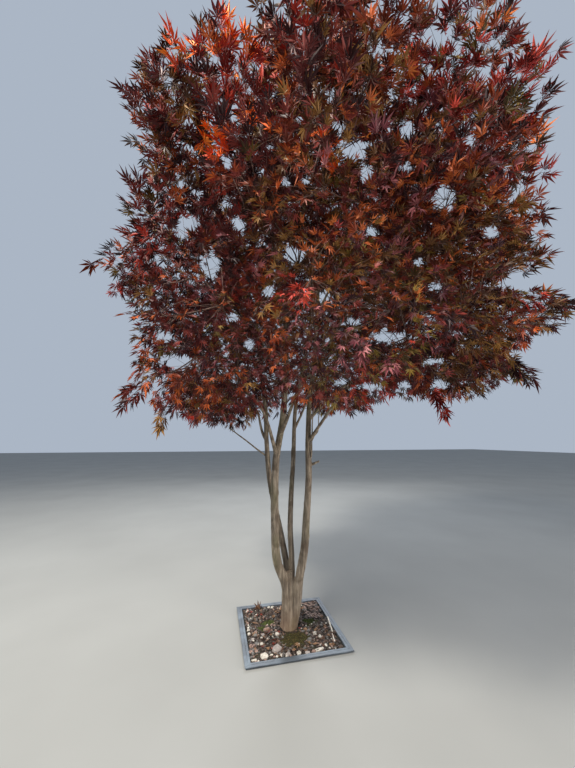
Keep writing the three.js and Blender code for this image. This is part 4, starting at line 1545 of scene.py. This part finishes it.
def bed_spots(count, least, rng, edge, trunk):
    """Places in the bed clear of the trunk, the frame and the moss, none of them near another."""
    half = FRAME_SIDE / 2 - FLANGE_WIDTH - edge
    spots = []
    for _ in range(count * SPOT_TRIES):
        if len(spots) >= count:
            break
        spot = rng.uniform(-half, half, 2)
        if np.hypot(*spot) < trunk:
            continue
        if rng.random() < max(min(1, MOSS_CLEAR * moss_share(patch, *spot)) for patch in MOSS_PATCHES):
            continue
        if spots and min(np.hypot(*(np.array(spots) - spot).T)) < least:
            continue
        spots.append(spot)
    return spots


def laid(points, spot, lift):
    """Points moved to a spot in the bed, so much above its surface."""
    return points + np.array([*spot, bed_height(*spot) + lift])


# Single stones: place, half sizes, kind and turn in degrees
BED_STONES = [
    ((-249, -306), (27, 25, 14), 0, 12), ((-148, -252), (38, 30, 17), 4, 40),
    ((150, -322), (44, 15, 9), 0, 12), ((-113, -78), (17, 14, 10), 0, 20),
    ((182, -134), (19, 15, 11), 0, 70), ((208, -179), (13, 17, 9), 0, 10),
    ((-1, -322), (17, 15, 10), 0, 30), ((218, -284), (11, 13, 8), 0, 5), ((263, -334), (15, 10, 7), 0, 15),
    ((-245, -164), (13, 16, 8), 0, 60), ((-318, 58), (15, 13, 8), 0, 30), ((-327, -21), (14, 12, 8), 0, 80),
    ((-322, -325), (17, 10, 8), 0, 10), ((-191, -116), (11, 9, 7), 0, 45),
    ((-221, -58), (12, 12, 8), 4, 25), ((-306, -92), (13, 10, 8), 4, 5), ((60, -335), (20, 12, 9), 4, 8),
    ((-80, -318), (18, 14, 9), 4, 30),
]


def pebbles(materials):
    rng = np.random.default_rng(PEBBLE_SEED)
    ball, faces = unit_ball()
    stones = LooseThings()
    for spot in bed_spots(PEBBLES, 13, rng, edge=12, trunk=96):
        size = PEBBLE_SIZE * math.exp(rng.normal(0, PEBBLE_SPREAD))
        edge = np.max(np.abs(spot)) > EDGE_PEBBLES_FROM and spot[0] < EDGE_PEBBLES_TO
        kind = int(rng.choice(4, p=EDGE_PEBBLE_KINDS if edge else PEBBLE_KINDS))
        axes = size * np.array([rng.uniform(*ends) for ends in PEBBLE_SHAPE])
        turn = level_turn(rng.uniform(0, 2 * math.pi))
        lift = axes[2] * rng.uniform(*PEBBLE_SUNK)
        stones.add(laid((lumpy(ball, spot, PEBBLE_LUMPS) * axes) @ turn.T, spot, lift), faces, kind)
    for spot, half, kind, turn in BED_STONES:
        blocky = lumpy(np.sign(ball) * np.abs(ball) ** BLOCKY, spot, STONE_LUMPS)
        blocky = blocky * half @ turned(math.radians(turn), STONE_TILT).T
        stones.add(laid(blocky, spot, STONE_SUNK * half[2]), faces, kind)
    stones.settle("pebbles", materials)


def bark_chips(materials):
    rng = np.random.default_rng(CHIP_SEED)
    box = np.array([(x, y, z) for x in (-1, 1) for y in (-1, 1) for z in (-1, 1)], float)
    faces = np.array([(0, 1, 3), (0, 3, 2), (4, 6, 7), (4, 7, 5), (0, 4, 5), (0, 5, 1),
                      (2, 3, 7), (2, 7, 6), (0, 2, 6), (0, 6, 4), (1, 5, 7), (1, 7, 3)])
    chips = LooseThings()
    for spot in bed_spots(CHIPS, 9, rng, edge=20, trunk=78):
        axes = np.array([rng.uniform(*ends) for ends in CHIP_SHAPE])
        corners = box * axes * rng.uniform(*CHIP_UNEVEN, (8, 3))
        turn = turned(rng.uniform(0, 2 * math.pi), rng.normal(0, CHIP_ROLL), rng.normal(0, CHIP_TIP))
        placed = laid(corners @ turn.T, spot, rng.uniform(*CHIP_LIFT))
        chips.add(placed, faces, int(rng.random() < TAN_CHIPS))
    for _ in range(STRAWS):
        spot = np.array([rng.uniform(*ends) for ends in STRAW_CORNER])
        axes = np.array([rng.uniform(*ends) for ends in STRAW_SHAPE])
        turn = turned(math.radians(rng.normal(*STRAW_TURN)), y=rng.normal(0, STRAW_TIP))
        chips.add(laid(box * axes @ turn.T, spot, rng.uniform(*STRAW_LIFT)), faces, 2)
    chips.settle("bark_chips", materials)


def fallen_leaves(materials):
    """Fallen leaves of the tree, dry and curled."""
    rng = np.random.default_rng(LITTER_SEED)
    litter = LooseThings()
    for spot in bed_spots(LITTER, 16, rng, edge=36, trunk=90):
        points, triangles = LEAF_SHAPES[int(rng.integers(0, LEAF_VARIANTS))]
        size = rng.uniform(*LITTER_SIZE)
        turn = turned(rng.uniform(0, 2 * math.pi), rng.normal(0, LITTER_ROLL),
                      rng.normal(math.pi * (rng.random() < 0.5), LITTER_TIP))
        placed = laid((points - LEAF_MIDDLE) * size @ turn.T, spot, rng.uniform(*LITTER_LIFT))
        litter.add(placed, triangles, int(rng.choice(3, p=LITTER_KINDS)))
    litter.settle("fallen_leaves", materials)


def moss_cover(materials):
    """Low tufts of moss over soil and stones, as many small cones of few sides."""
    rng = np.random.default_rng(MOSS_SEED)
    tufts = LooseThings()
    angles = ring_angles(TUFT_SIDES)
    faces = np.array([(k, (k + 1) % TUFT_SIDES, TUFT_SIDES) for k in range(TUFT_SIDES)])
    for middle, reach, _, brown in MOSS_PATCHES:
        for _ in range(int(reach[0] * reach[1] * TUFT_SHARE)):
            turn, away = rng.uniform(0, 2 * math.pi), math.sqrt(rng.random()) * rng.uniform(*TUFT_REACH)
            spot = middle + np.array([reach[0] * away * math.cos(turn), reach[1] * away * math.sin(turn)])
            if np.hypot(*spot) < BARE_BY_TRUNK or np.max(np.abs(spot)) > MOSS_END:
                continue
            wide = rng.uniform(*TUFT_WIDTH)
            tall = rng.uniform(*TUFT_HEIGHT) * (1 - 0.4 * away)
            foot = wide * np.column_stack([np.cos(angles + turn), np.sin(angles + turn), 0 * angles])
            tuft = np.vstack([foot, [*rng.normal(0, TUFT_LEAN, 2), tall]])
            tufts.add(laid(tuft, spot, -TUFT_SUNK), faces, int(brown and rng.random() < BROWN_TUFTS))
    tufts.settle("moss", materials)


# Two pieces of a pale stick by the right flange: their ends and thickness
STICKS = [((352, 40, 24), (322, -150, 18), 6.5), ((312, -172, 14), (296, -262, 12), 5.5)]


def sticks(material):
    parts = []
    for start, end, radius in STICKS:
        curve = straight_curve(np.array(start, float), np.subtract(end, start))
        parts.append(swept_limb(curve, tapering(radius, STICK_TAPER), 0, 1, 8, 12))
    points, triangles = joined(parts)
    for i, point in enumerate(points * MM):
        points[i] += np.array(noise.noise_vector(Vector(point * 40))) * STICK_RELIEF
    stick = LooseThings()
    stick.add(points, triangles)
    stick.settle("stick", [material], smooth=True)


# Dry leaves caught upright by the back flange: place, size, and turn and tip in degrees
STANDING_LEAVES = [(-205, 330, 74, 20, 80), (-196, 322, 60, 75, 62), (-214, 334, 52, -30, 70)]


def standing_leaves(materials):
    leaves = LooseThings()
    for k, (x, y, size, turn, tip) in enumerate(STANDING_LEAVES):
        points, triangles = LEAF_SHAPES[k]
        placed = points * size @ turned(math.radians(turn), math.radians(tip)).T + np.array([x, y, 12])
        leaves.add(placed, triangles, k % len(materials))
    leaves.settle("standing_leaves", materials)


# Stage: the floor's size, the sky's light, and lamps with their places, aims, sizes, powers and colours
FLOOR_SIZE = 80
SKY_COLOUR = (0.68, 0.78, 0.93, 1)
SKY_STRENGTH = 0.60
LIGHTS = [
    ("key", (-5.5, -3.5, 8.5), (0.2, -0.2, 2.8), 2.2, 1850, (1.0, 0.94, 0.84)),
    ("fill", (5.0, -4.5, 1.6), (0.0, 0.0, 0.9), 2.6, 290, (1.0, 0.93, 0.86)),
    ("back", (2.0, 7.0, 6.5), (0.2, -0.2, 3.0), 3.0, 420, (0.95, 0.97, 1.0)),
]


def floor():
    bpy.ops.mesh.primitive_plane_add(size=FLOOR_SIZE)
    plane = bpy.context.object
    plane.name = "floor"
    plane.data.materials.append(floor_material())


def area_light(name, place, aim, size, power, colour):
    data = bpy.data.lights.new(name, "AREA")
    data.shape, data.size, data.energy, data.color = "DISK", size, power, colour
    light = bpy.data.objects.new(name, data)
    light.location = place
    light.rotation_euler = (Vector(aim) - Vector(place)).to_track_quat("-Z", "Y").to_euler()
    bpy.context.scene.collection.objects.link(light)


def light_and_camera():
    scene = bpy.context.scene
    world = bpy.data.worlds.new("world")
    world.use_nodes = True
    background = world.node_tree.nodes["Background"]
    background.inputs["Color"].default_value = SKY_COLOUR
    background.inputs["Strength"].default_value = SKY_STRENGTH
    scene.world = world
    for light in LIGHTS:
        area_light(*light)
    camera = bpy.data.cameras.new("camera")
    camera.sensor_width = SENSOR
    camera.lens = SENSOR * FOCAL_PIXELS / PHOTO_HEIGHT
    camera.clip_end = 200
    view = bpy.data.objects.new("camera", camera)
    view.location = CAMERA_PLACE
    view.rotation_euler = (math.radians(90 + CAMERA_PITCH), 0, math.radians(-CAMERA_YAW))
    scene.collection.objects.link(view)
    scene.camera = view
    scene.view_settings.view_transform = "Standard"


# Looks of what lies in the bed: names and colours
PEBBLE_LOOKS = [
    ("stone_white", "#c2bcb1", "#8d867b"), ("stone_pink", "#94796d", "#5d4a42"),
    ("stone_grey", "#6d6a66", "#383532"), ("stone_brown", "#493a30", "#1f1813"),
    ("stone_pale_grey", "#9a928d", "#756b67"),
]
CHIP_LOOKS = [
    ("chip_dark", "#40302a", "#1d1511"), ("chip_tan", "#725947", "#423127"), ("straw", "#b49c90", "#7c6459"),
]
DRY_LEAF_LOOKS = [("dry_leaf_brown", "#5a3d2c"), ("dry_leaf_tan", "#866549"), ("dry_leaf_red", "#7d2c1c")]
MOSS_LOOKS = [
    ("moss_green", "#23280f", "#41491f", "#6b7440"), ("moss_brown", "#1d190d", "#3d3418", "#66562c"),
]


def dress():
    noise.seed_set(RELIEF_SEED)
    stems, masses = plant_skeleton()
    bark = bark_material()
    materials = {"leaves": leaf_materials(), "twig": twig_material()}
    bark_lower(stems, bark)
    bark_upper(stems, masses, bark)
    for i, mass in enumerate(masses):
        foliage(mass, i, materials)
    metal_frame(metal_material())
    soil_bed(soil_material())
    pebbles([stone_material(*look, 60) for look in PEBBLE_LOOKS])
    bark_chips([stone_material(*look, 90) for look in CHIP_LOOKS])
    dry = [plain_material(*look, 0.8) for look in DRY_LEAF_LOOKS]
    fallen_leaves(dry)
    standing_leaves(dry[:2])
    sticks(plain_material("stick_pale", "#c9c3b8", 0.7))
    moss_cover([moss_material(*look) for look in MOSS_LOOKS])


dress()
floor()
light_and_camera()
